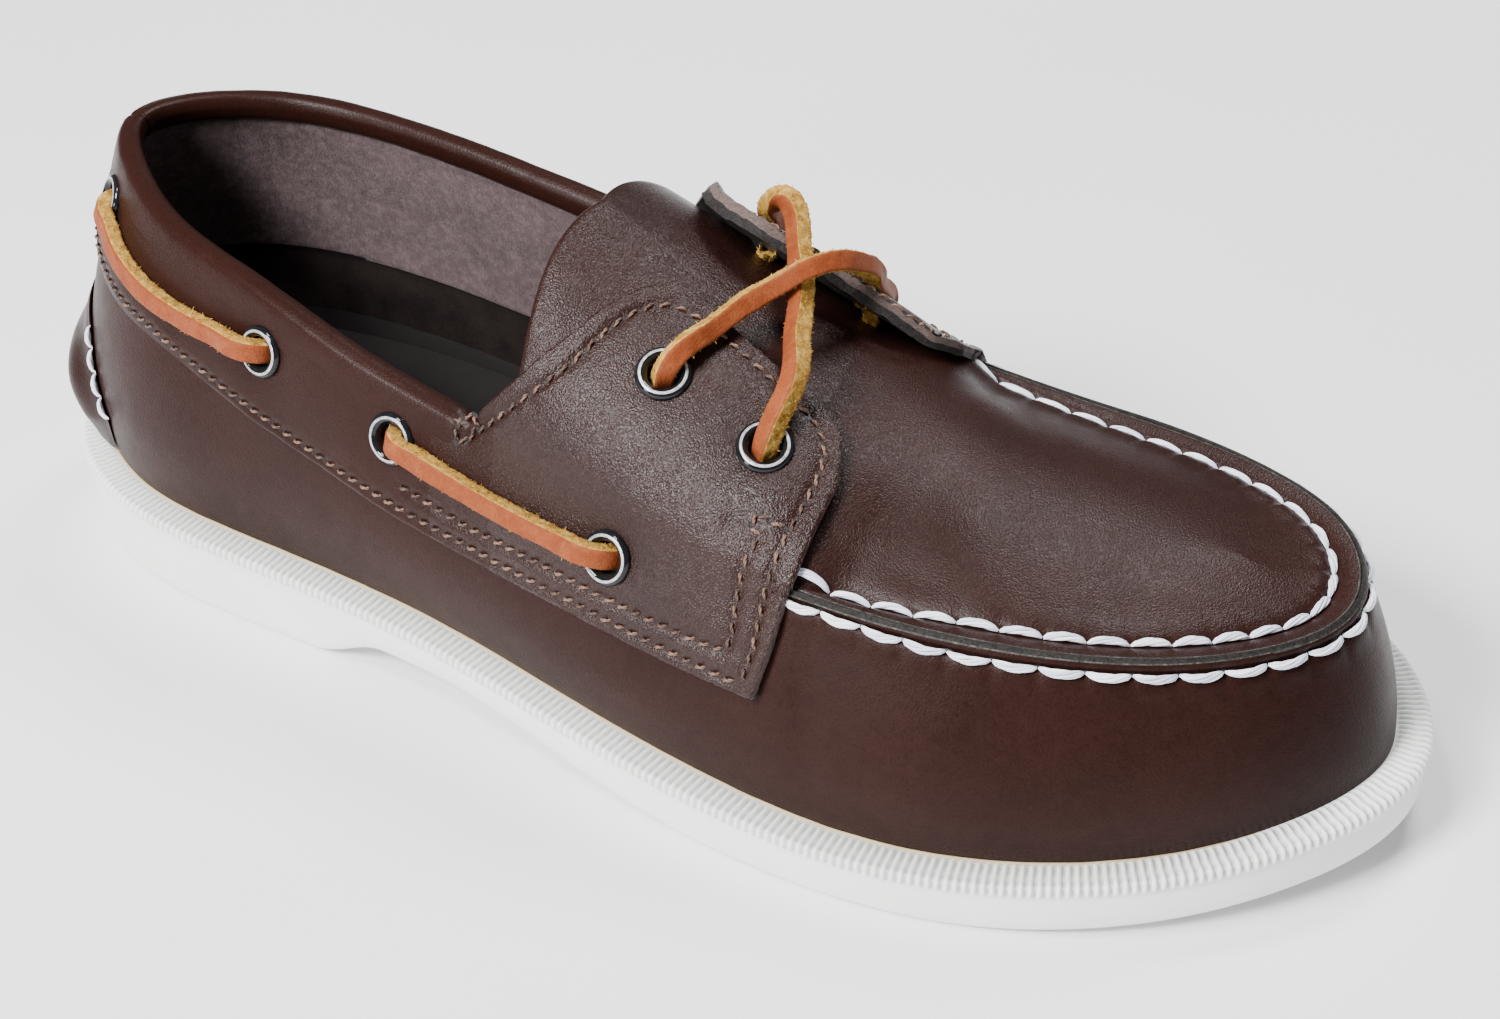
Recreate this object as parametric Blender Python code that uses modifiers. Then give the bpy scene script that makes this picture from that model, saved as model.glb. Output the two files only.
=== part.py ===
# A moccasin-toe boat shoe for the right foot: outsole, insole, hollow upper, tongue,
# two eyestays, heel patch, eyelets and a rawhide lace.
# Frame: +X heel to toe, +Y medial (inner) side, -Y lateral (outer) side, +Z up.
# The origin is under the middle of the sole, on the floor.  Sizes below are millimetres
# in a drawing frame whose X = 0 is the back of the heel; MM turns them into metres.
import bpy, bmesh
import numpy as np
from math import pi, cos, sin
from mathutils import Matrix, Vector

MM = 0.001
LENGTH = 298.0           # outsole, heel back to toe tip
WALL = 2.0               # upper leather with its lining
GAP = 0.3                # between meeting pieces
LEDGE = 6.2              # rib-topped edge of the outsole outside the upper
STAY_T = 2.0             # eyestay thickness
TONGUE_T = 1.8
INSOLE_T = 3.0
SOLE_FORE_T = 11.3       # outsole thickness under the toes
HEEL_PAD = (7.0, 84.0)   # flat heel tread, front and back
BREAST = 104.0           # where the heel breast meets the arch
ARCH_H = 6.6             # height of the arch's underside
FORE_PAD = (188.0, 232.0)  # flat forefoot tread
EYELET_OD, EYELET_ID, SHANK_OD, HOLE_D = 10.4, 5.6, 7.0, 7.8
LACE_R = 1.7
MED_ROUND = 0.25         # the instep falls away a little faster on the medial side
SEAM_W, SEAM_DIP = 4.6, 0.9   # moccasin seam: flat band inside the wall top, and its drop

# ---------------------------------------------------------------- tables
# Twelve stations a side, from the heel centre (0) round to the toe tip (11).
# Outsole edge in plan: lateral x, lateral y, medial x, medial y
OUTLINE = [
    (0.0, -3.5, 0.0, -3.5), (9.0, -26.0, 9.0, 20.5), (36.0, -42.0, 36.0, 34.0),
    (72.0, -45.6, 72.0, 36.8), (105.0, -47.2, 105.0, 35.3), (132.0, -50.8, 132.0, 36.6),
    (165.0, -56.6, 165.0, 41.6), (203.0, -60.3, 201.0, 48.8), (235.0, -56.6, 232.0, 51.0),
    (263.0, -44.8, 261.0, 47.0), (286.0, -25.0, 283.0, 33.5), (298.0, 4.0, 298.0, 4.0)]
# Top of the side wall: the topline behind, the moccasin seam in front.
# lateral x, y, z, medial x, y, z, wall bulge lateral, wall bulge medial
WALL_TOP = [
    (18.5, -1.0, 85.6, 18.5, -1.0, 85.6, 6.0, 6.0),
    (28.5, -13.5, 83.2, 24.5, 13.5, 84.8, 5.5, 5.5),
    (47.0, -24.0, 79.4, 42.0, 26.0, 82.0, 5.0, 4.0),
    (73.0, -31.3, 76.4, 70.0, 29.5, 79.2, 4.5, 3.0),
    (101.0, -35.5, 69.5, 101.0, 30.0, 74.5, 4.5, 2.5),
    (127.0, -37.0, 63.5, 127.0, 31.0, 69.0, 4.5, 3.0),
    (164.0, -42.0, 57.5, 162.0, 31.5, 62.0, 4.0, 3.5),
    (200.0, -43.5, 53.5, 197.0, 31.0, 57.0, 4.0, 4.0),
    (231.0, -40.5, 52.0, 225.0, 33.5, 52.5, 4.5, 4.0),
    (257.0, -30.0, 49.5, 251.0, 32.5, 50.3, 4.0, 3.5),
    (275.0, -14.0, 47.0, 273.5, 24.0, 48.0, 2.8, 2.2),
    (283.0, 5.0, 46.2, 283.0, 5.0, 46.2, 1.6, 1.6)]
# Crest of the instep and plug: station, x, y, z, roundness of the section
# (0.5 is a quarter ellipse with upright sides, 1 a shallow parabola)
CREST = [
    (4.0, 112.0, -2.0, 107.0, 0.54), (5.0, 135.0, -2.0, 96.0, 0.56),
    (6.0, 163.0, -3.0, 82.5, 0.62), (7.0, 198.0, -3.5, 69.0, 0.78),
    (8.0, 222.0, -2.5, 61.8, 0.92), (9.0, 241.0, -1.0, 57.2, 1.0),
    (10.0, 254.0, 0.5, 54.2, 1.0), (11.0, 262.0, 2.0, 52.4, 1.0)]
# Height of the outsole's upper edge: x, z
SOLE_TOP = [(0, 20.8), (50, 19.0), (100, 17.0), (150, 14.4), (200, 12.0), (230, 11.6),
            (260, 12.9), (280, 14.8), (298, 17.4)]
# Eyelets: lateral station and place, medial station and place (1 = wall top, 2 = crest),
# and 1 where the eyelet goes through the eyestay
EYELETS = [(0.93, 0.85, 0.93, 0.85, 0), (3.18, 0.81, 3.18, 0.81, 0), (4.40, 0.80, 4.40, 0.80, 0),
           (5.99, 0.83, 5.99, 0.83, 1), (6.02, 1.60, 5.86, 1.52, 1), (6.61, 1.58, 6.50, 1.50, 1)]
# Eyestay edges as (station, place): bottom and top edges run rear to front, the others upwards
STAY_BOTTOM = [(4.80, 0.54), (5.30, 0.545), (5.80, 0.56), (6.30, 0.565), (6.86, 0.575)]
STAY_REAR = [(4.80, 0.54), (4.86, 0.66), (4.93, 0.80), (5.02, 0.93), (5.15, 1.12)]
STAY_FRONT = [(6.86, 0.575), (6.93, 0.75), (6.97, 0.92), (6.99, 1.17), (7.00, 1.36)]
TOP_LATERAL = [(5.15, 1.12), (5.35, 1.33), (5.52, 1.54), (5.61, 1.69), (5.71, 1.80), (5.82, 1.87),
               (5.95, 1.88), (6.33, 1.845), (6.72, 1.81), (6.92, 1.74), (7.01, 1.60), (7.00, 1.36)]
TOP_MEDIAL = [(5.15, 1.12), (5.30, 1.33), (5.44, 1.54), (5.52, 1.68), (5.61, 1.77), (5.75, 1.82),
              (5.95, 1.83), (6.33, 1.77), (6.72, 1.71), (6.92, 1.64), (7.01, 1.52), (7.00, 1.36)]
# How far the medial eyestay's top edge stands off the tongue: station, lift
FLAP_LIFT = [(5.0, 4.0), (5.44, 5.2), (5.8, 7.3), (5.95, 8.0), (6.33, 7.0), (6.72, 5.4), (7.0, 2.3)]
# The lace between the two rear flaps: middle points of both runs, x, y, z
RUN_A = [(169.8, -16.5, 84.6), (173.2, -3.0, 85.4), (176.4, 5.0, 87.0), (182.4, 12.0, 88.4)]
RUN_B = [(186.0, -21.5, 77.6), (181.2, -10.0, 82.0), (175.0, 5.0, 83.6), (172.8, 12.0, 90.4),
         (167.0, 18.5, 91.6)]

N = len(OUTLINE) - 1


# ---------------------------------------------------------------- curves through the tables
def periodic(rows):
    """Closed cubic spline through rows at unit spacing; returns f(s)."""
    p = np.array(rows, float)
    n = len(p)
    a = np.zeros((n, n))
    for i in range(n):
        a[i, (i - 1) % n], a[i, i], a[i, (i + 1) % n] = 1, 4, 1
    d = np.linalg.solve(a, 3 * (np.roll(p, -1, 0) - np.roll(p, 1, 0)))

    def f(s):
        s = np.atleast_1d(np.asarray(s, float)) % n
        i = np.floor(s).astype(int) % n
        t = (s - np.floor(s))[:, None]
        j = (i + 1) % n
        return ((2 * t**3 - 3 * t**2 + 1) * p[i] + (t**3 - 2 * t**2 + t) * d[i]
                + (3 * t**2 - 2 * t**3) * p[j] + (t**3 - t**2) * d[j])
    return f


def both_sides(rows, lateral, medial):
    """Lateral columns from heel to toe, then medial columns back to the heel."""
    return ([tuple(r[c] for c in lateral) for r in rows]
            + [tuple(r[c] for c in medial) for r in rows[1:-1]][::-1])


def natural(xs, ys):
    """Natural cubic spline y(x), carried on straight past its ends."""
    x, y = np.array(xs, float), np.array(ys, float)
    n, h = len(x), np.diff(np.array(xs, float))
    a, b = np.zeros((n, n)), np.zeros(n)
    a[0, 0], a[0, 1], b[0] = 2 * h[0], h[0], 3 * (y[1] - y[0])
    a[-1, -1], a[-1, -2], b[-1] = 2 * h[-1], h[-1], 3 * (y[-1] - y[-2])
    for i in range(1, n - 1):
        a[i, i - 1], a[i, i], a[i, i + 1] = h[i], 2 * (h[i] + h[i - 1]), h[i - 1]
        b[i] = 3 * (h[i] * (y[i] - y[i - 1]) / h[i - 1] + h[i - 1] * (y[i + 1] - y[i]) / h[i])
    m = np.linalg.solve(a, b)

    def f(q):
        q0 = np.asarray(q, float)
        q = np.clip(q0, x[0], x[-1])
        i = np.clip(np.searchsorted(x, q, side='right') - 1, 0, n - 2)
        t = (q - x[i]) / h[i]
        past = (q0 - q) * np.where(q0 > q, m[-1], m[0])
        return past + ((2 * t**3 - 3 * t**2 + 1) * y[i] + (t**3 - 2 * t**2 + t) * h[i] * m[i]
                       + (3 * t**2 - 2 * t**3) * y[i + 1] + (t**3 - t**2) * h[i] * m[i + 1])
    return f


def ramp(x, a, b):
    t = np.clip((np.asarray(x, float) - a) / (b - a), 0, 1)
    return t * t * (3 - 2 * t)


outline = periodic(both_sides(OUTLINE, (0, 1), (2, 3)))
wall_top = periodic(both_sides(WALL_TOP, (0, 1, 2), (3, 4, 5)))
bulge = periodic(both_sides(WALL_TOP, (6,), (7,)))
sole_top = natural(*zip(*SOLE_TOP))
crest_x, crest_y, crest_z, crest_round = [natural([r[0] for r in CREST], [r[i] for r in CREST])
                                          for i in (1, 2, 3, 4)]
_edge = outline(np.linspace(0, 2 * N, 2001))
X0, Y0 = [(_edge[:, i].min() + _edge[:, i].max()) / 2 for i in (0, 1)]


def outline_normal(s):
    t = outline(np.asarray(s) + 1e-3) - outline(np.asarray(s) - 1e-3)
    n = np.c_[t[:, 1], -t[:, 0]]
    return n / np.linalg.norm(n, axis=1)[:, None]


def inset(s, d):
    return outline(s) - d * outline_normal(s)


def station(s):
    s = np.atleast_1d(np.asarray(s, float)) % (2 * N)
    return np.where(s <= N, s, 2 * N - s)


def wall(s, v):
    """Side wall: v = 0 at the feather line on the sole, 1 at the wall top."""
    p = inset(s, LEDGE)
    foot = np.c_[p, sole_top(p[:, 0]) + GAP + 0.1]
    q = foot + (wall_top(s) - foot) * v[:, None]
    q[:, :2] += outline_normal(s) * (bulge(s)[:, 0] * 4 * v * (1 - v) * (1.35 - 0.7 * v))[:, None]
    return q


def dome(s, q):
    """Instep and plug: q = 0 at the wall top, 1 on the crest.  Ahead of the throat a flat
    band dips a little behind the seam before the plug rises."""
    k, u = station(s), wall_top(s)
    g = np.c_[crest_x(k), crest_y(k), crest_z(k)]
    front = ramp(k, 6.9, 7.3)
    p = 1 - np.cos(q * pi / 2)
    band = SEAM_W / np.hypot(*(g - u)[:, :2].T) * front
    t = np.clip((p - band) / (1 - band), 0, 1)
    medial = (np.asarray(s) % (2 * N) > N) * MED_ROUND * ramp(k, 5.5, 6.7) * (1 - ramp(k, 8.5, 11.0))
    z = (1 - (1 - t) ** 2) ** (crest_round(k) + medial)
    slope = (crest_z(k + .02) - crest_z(k - .02)) / (crest_x(k + .02) - crest_x(k - .02))
    rise = slope * (g[:, 0] - u[:, 0]) * ramp(k, 6.0, 9.0)
    inner = 1 - np.clip(p / np.maximum(band, 1e-6), 0, 1)
    dip = SEAM_DIP * front * np.where(p < band, 1 - inner ** 2, 1 - t)
    out = u + (g - u) * np.c_[p, p, z]
    out[:, 2] += rise * (t - z) - dip
    return out


def skin(s, w, off=0.0):
    """The upper's outer surface, w = 0..1 up the wall and 1..2 over the instep,
    moved outwards along its normal by off."""
    s = np.atleast_1d(np.asarray(s, float))
    w = np.atleast_1d(np.asarray(w, float)) * np.ones(len(s))
    p = np.where((w <= 1)[:, None], wall(s, np.clip(w, 0, 1)), dome(s, np.clip(w - 1, 0, 1)))
    off = np.asarray(off, float) * np.ones(len(s))
    if np.any(off):
        n = skin_normal(s, w)
        p = p + n * off[:, None]
    return p


def skin_normal(s, w):
    e = 2e-3
    ds = skin(s + e, w) - skin(s - e, w)
    dw = skin(s, np.minimum(w + e, 1.99)) - skin(s, np.maximum(w - e, 0) - (w > 1.98) * 0.01)
    n = np.cross(ds, dw)
    return n / np.maximum(np.linalg.norm(n, axis=1), 1e-9)[:, None]


def stay_skin(side, k, w, off=0.0):
    """Underside of an eyestay, moved outwards by off.  The medial one stands open."""
    k, w = np.atleast_1d(np.asarray(k, float)), np.atleast_1d(np.asarray(w, float))
    lift = np.interp(k, *zip(*FLAP_LIFT)) * ramp(w, 0.8, 1.9) if side > 0 else 0.0
    return skin(k if side < 0 else 2 * N - k, w, GAP + 0.05 + lift + off)


def stay_normal(side, k, w):
    e = 4e-3
    n = np.cross(stay_skin(side, k + e, w) - stay_skin(side, k - e, w),
                 stay_skin(side, k, w + e) - stay_skin(side, k, w - e)) * -side
    return n / np.linalg.norm(n, axis=1)[:, None]


# ---------------------------------------------------------------- Blender helpers
def fresh_scene():
    for ob in list(bpy.data.objects):
        bpy.data.objects.remove(ob, do_unlink=True)


def collection(name):
    c = bpy.data.collections.new(name)
    bpy.context.scene.collection.children.link(c)
    return c


def material(name, color, rough, metal=0.0):
    m = bpy.data.materials.new(name)
    m.use_nodes = True
    b = m.node_tree.nodes["Principled BSDF"]
    b.inputs["Base Color"].default_value = (*color, 1.0)
    b.inputs["Roughness"].default_value = rough
    b.inputs["Metallic"].default_value = metal
    m.diffuse_color = (*color, 1.0)
    return m


def place(p):
    """Drawing frame in millimetres to the model's frame in metres."""
    p = np.atleast_2d(p)
    return [Vector(((a - X0) * MM, (b - Y0) * MM, c * MM)) for a, b, c in p]


def mesh_object(name, rows, mat, coll, closed=False, caps=False, extra=None):
    """A loft: rows of points joined by quads. closed joins each row's ends, caps closes
    the first and last rows, and extra adds further grids that share edge points."""
    bm = bmesh.new()

    def grid(rws, ring):
        vs = [[bm.verts.new(v) for v in place(r)] for r in rws]
        for a, b in zip(vs[:-1], vs[1:]):
            n = len(a)
            for j in range(n if ring else n - 1):
                k = (j + 1) % n
                bm.faces.new((a[j], a[k], b[k], b[j]))
        return vs
    vs = grid(rows, closed)
    if caps:
        bm.faces.new(vs[0][::-1])
        bm.faces.new(vs[-1])
    for g in (extra or []):
        grid(g, False)
    bmesh.ops.remove_doubles(bm, verts=bm.verts, dist=2e-6)
    bmesh.ops.dissolve_degenerate(bm, edges=bm.edges, dist=1e-6)
    bmesh.ops.recalc_face_normals(bm, faces=bm.faces)
    me = bpy.data.meshes.new(name)
    bm.to_mesh(me)
    bm.free()
    me.shade_smooth()
    me.set_sharp_from_angle(angle=0.7)
    ob = bpy.data.objects.new(name, me)
    ob.data.materials.append(mat)
    coll.objects.link(ob)
    return ob


def face_outwards(ob, centre):
    """Turn an open sheet's faces away from a point inside the shoe."""
    bm = bmesh.new()
    bm.from_mesh(ob.data)
    c = place(centre)[0]
    tally = sum(f.calc_area() * (1 if f.normal.dot(f.calc_center_median() - c) > 0 else -1)
                for f in bm.faces)
    if tally < 0:
        bmesh.ops.reverse_faces(bm, faces=bm.faces)
    bm.to_mesh(ob.data)
    bm.free()


def thicken(ob, t, offset):
    m = ob.modifiers.new("Solidify", 'SOLIDIFY')
    m.thickness = t * MM
    m.offset = offset
    m.use_even_offset = False
    return m


def cut_hole(ob, frame, coll, index):
    bpy.ops.mesh.primitive_cylinder_add(vertices=12, radius=HOLE_D / 2 * MM, depth=14 * MM)
    c = bpy.context.active_object
    c.name = "cut_%s_%d" % (ob.name, index)
    c.matrix_world = frame
    c.display_type = 'WIRE'
    c.hide_render = True
    for k in list(c.users_collection):
        k.objects.unlink(c)
    coll.objects.link(c)
    m = ob.modifiers.new("Hole%d" % index, 'BOOLEAN')
    m.operation = 'DIFFERENCE'
    m.object = c
    m.solver = 'EXACT'


def eyelet_frame(side, k, w, on_stay):
    """Matrix whose origin is on the leather and whose +Z is the outward normal."""
    if on_stay:
        n, p = stay_normal(side, k, w)[0], stay_skin(side, k, w, STAY_T + GAP)[0]
    else:
        s = k if side < 0 else 2 * N - k
        n, p = skin_normal(np.array([s]), np.array([w]))[0], skin(s, w, GAP)[0]
    turn = Vector(n).to_track_quat('Z', 'Y').to_matrix().to_4x4()
    return Matrix.Translation(place(p)[0]) @ turn


def eyelet(name, frame, mat, coll):
    """Turned ring: a domed flange outside the leather and a shank through it."""
    r0, r1, rs = EYELET_ID / 2 * MM, EYELET_OD / 2 * MM, SHANK_OD / 2 * MM
    prof = [(rs, -1.9), (rs, 0.0), (r1 - 0.0004, 0.0), (r1, 0.45), (r1 - 0.0011, 1.1),
            (r0 + 0.0006, 1.1), (r0, 0.4), (r0, -1.9)]
    bm = bmesh.new()
    pts = [bm.verts.new((r, 0, z * MM)) for r, z in prof]
    for a, b in zip(pts, pts[1:] + pts[:1]):
        bm.edges.new((a, b))
    me = bpy.data.meshes.new(name)
    bm.to_mesh(me)
    bm.free()
    ob = bpy.data.objects.new(name, me)
    coll.objects.link(ob)
    ob.matrix_world = frame
    m = ob.modifiers.new("Turn", 'SCREW')
    m.axis = 'Z'
    m.angle = 2 * pi
    m.steps = m.render_steps = 12
    m.use_merge_vertices = True
    m.merge_threshold = 1e-5
    m.use_normal_calculate = True
    ob.data.materials.append(mat)
    return ob


def tube(name, pts, r, mat, coll, sides=2):
    cu = bpy.data.curves.new(name, 'CURVE')
    cu.dimensions = '3D'
    cu.bevel_depth = r * MM
    cu.bevel_resolution = sides - 1
    cu.use_fill_caps = True
    sp = cu.splines.new('POLY')
    v = place(pts)
    sp.points.add(len(v) - 1)
    for q, p in zip(sp.points, v):
        q.co = (*p, 1.0)
    ob = bpy.data.objects.new(name, cu)
    coll.objects.link(ob)
    cu.materials.append(mat)
    return ob


def as_mesh(ob, coll):
    """Replace a curve by its evaluated mesh, caps welded, so that it can be joined."""
    dg = bpy.context.evaluated_depsgraph_get()
    me = bpy.data.meshes.new_from_object(ob.evaluated_get(dg))
    bm = bmesh.new()
    bm.from_mesh(me)
    bmesh.ops.remove_doubles(bm, verts=bm.verts, dist=1e-6)
    bmesh.ops.recalc_face_normals(bm, faces=bm.faces)
    bm.to_mesh(me)
    bm.free()
    name = ob.name
    new = bpy.data.objects.new(name + "_m", me)
    new.matrix_world = ob.matrix_world
    coll.objects.link(new)
    bpy.data.objects.remove(ob, do_unlink=True)
    new.name = name
    return new


def smooth_path(pts, n):
    """n points on a natural spline through pts, by chord length."""
    p = np.array(pts, float)
    d = np.r_[0, np.cumsum(np.linalg.norm(np.diff(p, axis=0), axis=1))]
    t = np.linspace(0, d[-1], n)
    return np.c_[[natural(d, p[:, i])(t) for i in range(3)]].T


# ---------------------------------------------------------------- the shoe
fresh_scene()
shoe = collection("boat_shoe_right")
cutters = collection("cutters")

leather = material("dark_leather", (0.045, 0.018, 0.014), 0.38)
rubber = material("white_rubber", (0.80, 0.79, 0.75), 0.55)
lining = material("insole_lining", (0.06, 0.055, 0.06), 0.7)
black = material("black_enamel", (0.012, 0.012, 0.014), 0.18, 0.6)
rawhide = material("rawhide_lace", (0.52, 0.20, 0.07), 0.6)


def sole_bottom(x):
    """Underside: heel pad, heel breast, arch, forefoot pad, toe spring."""
    arch = ARCH_H * ramp(x, HEEL_PAD[1], BREAST) * (1 - ramp(x, BREAST + 14, FORE_PAD[0]))
    spring = (float(sole_top(LENGTH)) - SOLE_FORE_T) * np.clip(
        (np.asarray(x, float) - FORE_PAD[1]) / (LENGTH - FORE_PAD[1]), 0, 1) ** 1.6
    heel = 2.0 * (1 - ramp(x, 0.0, HEEL_PAD[0]))
    return arch + spring + heel


def half_plan(side, d=0.0):
    s = np.linspace(0, N, 1500) if side < 0 else np.linspace(2 * N, N, 1500)
    p = inset(s, d)
    o = np.argsort(p[:, 0])
    return p[o, 0], p[o, 1]


LAT, MED = half_plan(-1), half_plan(1)
SOLE_X = ([0.25, 1.2, 3.2, 7.0, 12.0, 20.0, 32.0, 46.0, 60.0, 72.0, 84.0, 91.0, 98.0, 104.0, 116.0,
           130.0, 146.0, 162.0, 176.0, 188.0, 202.0, 217.0, 232.0, 244.0, 256.0, 267.0, 276.0,
           284.0, 290.0, 294.0, 296.6, 297.8])
rows = []
for x in SOLE_X:
    yl, ym = float(np.interp(x, *LAT)), float(np.interp(x, *MED))
    zb, zt = float(sole_bottom(x)), float(sole_top(x))
    w = ym - yl
    dr = min(1.6, 0.12 * w)                     # draft of the side wall
    side = lambda f: yl + w * f
    rows.append([(x, yl + dr, zb), (x, side(.3), zb), (x, side(.7), zb), (x, ym - dr, zb),
                 (x, ym - .3 * dr, zb + .45 * (zt - zb)), (x, ym, zt), (x, side(.75), zt),
                 (x, side(.5), zt), (x, side(.25), zt), (x, yl, zt),
                 (x, yl + .3 * dr, zb + .45 * (zt - zb))])
outsole = mesh_object("outsole", rows, rubber, shoe, closed=True, caps=True)

# Insole: a slab on the sole inside the wall
INL, INM = half_plan(-1, LEDGE + WALL + 1.6), half_plan(1, LEDGE + WALL + 1.6)
heel_in, toe_in = INL[0][0], INL[0][-1]
rows = []
for t in [0.004, 0.012, 0.03, 0.06, 0.11, 0.18, 0.27, 0.37, 0.47, 0.57, 0.67, 0.76, 0.84, 0.90,
          0.945, 0.975, 0.99, 0.997]:
    x = heel_in + (toe_in - heel_in) * t
    yl, ym, z = float(np.interp(x, *INL)), float(np.interp(x, *INM)), float(sole_top(x)) + GAP + 0.05
    rows.append([(x, yl, z), (x, (yl + ym) / 2, z), (x, ym, z),
                 (x, ym, z + INSOLE_T), (x, (yl + ym) / 2, z + INSOLE_T), (x, yl, z + INSOLE_T)])
insole = mesh_object("insole", rows, lining, shoe, closed=True, caps=True)

# Upper: wall all round, and the plug over the toes up to the throat
THROAT = 6.93
K_SIDE = [0, .35, .7, 1, 1.35, 1.7, 2, 2.5, 3, 3.5, 4, 4.5, 5, 5.5, 6, 6.5, THROAT, 7.3, 7.7, 8.1,
          8.5, 8.9, 9.3, 9.7, 10.1, 10.4, 10.7, 11]
loop = np.array(K_SIDE + [2 * N - k for k in K_SIDE[1:-1]][::-1])
levels = [0, .1, .24, .4, .56, .72, .87, 1.0]
front = [k for k in loop if THROAT - 1e-6 <= station(k)[0]]
fan = [skin(front, w) for w in (1.0, 1.12, 1.26, 1.42, 1.6, 1.8, 2.0)]
upper = mesh_object("upper", [skin(loop, w) for w in levels], leather, shoe, closed=True, extra=[fan])
face_outwards(upper, (150, -4, 35))
thicken(upper, WALL, -1.0)

# Tongue: carries on from the plug under the eyestays and out above the throat
TK = [THROAT - 0.012, 6.7, 6.4, 6.1, 5.8, 5.5, 0.0]     # 0 marks the free rear edge
TW = [1.06, 1.14, 1.25, 1.38, 1.52, 1.68, 1.84, 2.0]


def tongue_off(w):
    return -0.6 - (WALL - 0.1) * (1 - ramp(w, 1.08, 1.3))


def rear_edge(w):
    """Station of the tongue's free edge, which runs straight across the instep."""
    return 5.30 - 0.21 * float(ramp(w, 1.25, 1.95))


def across(w_list, k, off):
    ks = [k or rear_edge(w) for w in w_list]
    left = [skin(a, w, off(w))[0] for a, w in zip(ks, w_list)]
    right = [skin(2 * N - a, w, off(w))[0] for a, w in zip(ks, w_list)]
    return np.array(left + right[::-1][1:])


tongue = mesh_object("tongue", [across(TW, k, tongue_off) for k in TK], leather, shoe)
face_outwards(tongue, (160, -4, 40))
thicken(tongue, TONGUE_T, -1.0)


# Eyestays: overlays that stand proud of the upper and lap the tongue
def chain(table, t):
    a = np.array(table, float)
    d = np.r_[0, np.cumsum(np.linalg.norm(np.diff(a * (8, 10), axis=0), axis=1))]
    d /= d[-1]
    return np.c_[np.interp(t, d, a[:, 0]), np.interp(t, d, a[:, 1])]


def eyestay(name, side):
    u, v = np.linspace(0, 1, 12), np.linspace(0, 1, 12)
    top, bot = chain(TOP_LATERAL if side < 0 else TOP_MEDIAL, u), chain(STAY_BOTTOM, u)
    rear, frnt = chain(STAY_REAR, v), chain(STAY_FRONT, v)
    rows = []
    for j, b in enumerate(v):
        a = u[:, None]
        kw = ((1 - b) * bot + b * top + (1 - a) * rear[j] + a * frnt[j]
              - (1 - a) * ((1 - b) * bot[0] + b * top[0]) - a * ((1 - b) * bot[-1] + b * top[-1]))
        rows.append(stay_skin(side, kw[:, 0], kw[:, 1]))
    ob = mesh_object(name, rows, leather, shoe)
    face_outwards(ob, (160, -4, 40))
    thicken(ob, STAY_T, 1.0)
    return ob


stays = {-1: eyestay("eyestay_lateral", -1), 1: eyestay("eyestay_medial", 1)}

# Heel patch: a small D of leather low on the back of the heel
pu = np.linspace(-0.64, 0.64, 11)
patch_rows = []
for f in (0.0, 0.25, 0.5, 0.75, 1.0):
    tops = 0.47 * np.sqrt(np.clip(1 - (np.abs(pu) / 0.72) ** 2.6, 0, 1))
    patch_rows.append(skin(pu, 0.035 + (tops - 0.035) * f, GAP + 0.05))
patch = mesh_object("heel_patch", patch_rows, leather, shoe)
face_outwards(patch, (60, -4, 35))
thicken(patch, 2.4, 1.0)

# Eyelets, with their holes through the leather
def eyelet_seat(side, i):
    row = EYELETS[i]
    return eyelet_frame(side, row[0 if side < 0 else 2], row[1 if side < 0 else 3], row[4])


for side, tag in ((-1, "lat"), (1, "med")):
    for i, row in enumerate(EYELETS):
        fr = eyelet_seat(side, i)
        eyelet("eyelet_%s_%d" % (tag, i + 1), fr, black, shoe)
        if row[1] <= 1:
            cut_hole(upper, fr, cutters, i + (11 if side > 0 else 1))
        if row[4]:
            cut_hole(stays[side], fr, cutters, i + 1)


# Lace: side bars between eyelets, and the two crossing runs joined as one piece
def bar(name, side, a, b, n=9):
    (k0, w0), (k1, w1) = EYELETS[a][:2], EYELETS[b][:2]
    t = np.linspace(0, 1, n)
    k, w = k0 + (k1 - k0) * t, w0 + (w1 - w0) * t - 0.02 * np.sin(pi * t)
    s = k if side < 0 else 2 * N - k
    off = 3.7 + (2.4 * ramp(t, 0.0, 0.35) if EYELETS[b][4] else 0.0) + 0.5 * np.sin(pi * t)
    return tube(name, skin(s, w, off), LACE_R, rawhide, shoe)


def run(name, rear, middle, front, coll):
    """A lace run from above a lateral eyelet, through the middle points, to a medial one."""
    ends = []
    for side, i in ((-1, rear), (1, front)):
        m = eyelet_seat(side, i)
        p = (m @ Vector((0, 0, 3.9 * MM))) / MM
        ends.append((p[0] + X0, p[1] + Y0, p[2]))
    return as_mesh(tube(name, smooth_path([ends[0]] + middle + [ends[1]], 18),
                        LACE_R, rawhide, coll), coll)


for side, tag in ((-1, "lateral"), (1, "medial")):
    bar("lace_rear_" + tag, side, 0, 1, 11)
    bar("lace_front_" + tag, side, 2, 3, 11)
run_a = run("lace_crossing", 4, RUN_A, 5, shoe)
run_b = run("lace_crossing_b", 5, RUN_B, 4, cutters)
run_b.display_type = 'WIRE'
run_b.hide_render = True
m = run_a.modifiers.new("Join", 'BOOLEAN')
m.operation = 'UNION'
m.object = run_b
m.solver = 'EXACT'
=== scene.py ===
import bpy
import numpy as np
from math import pi, cos, sin, radians, sqrt
from mathutils import Matrix, Vector


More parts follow.
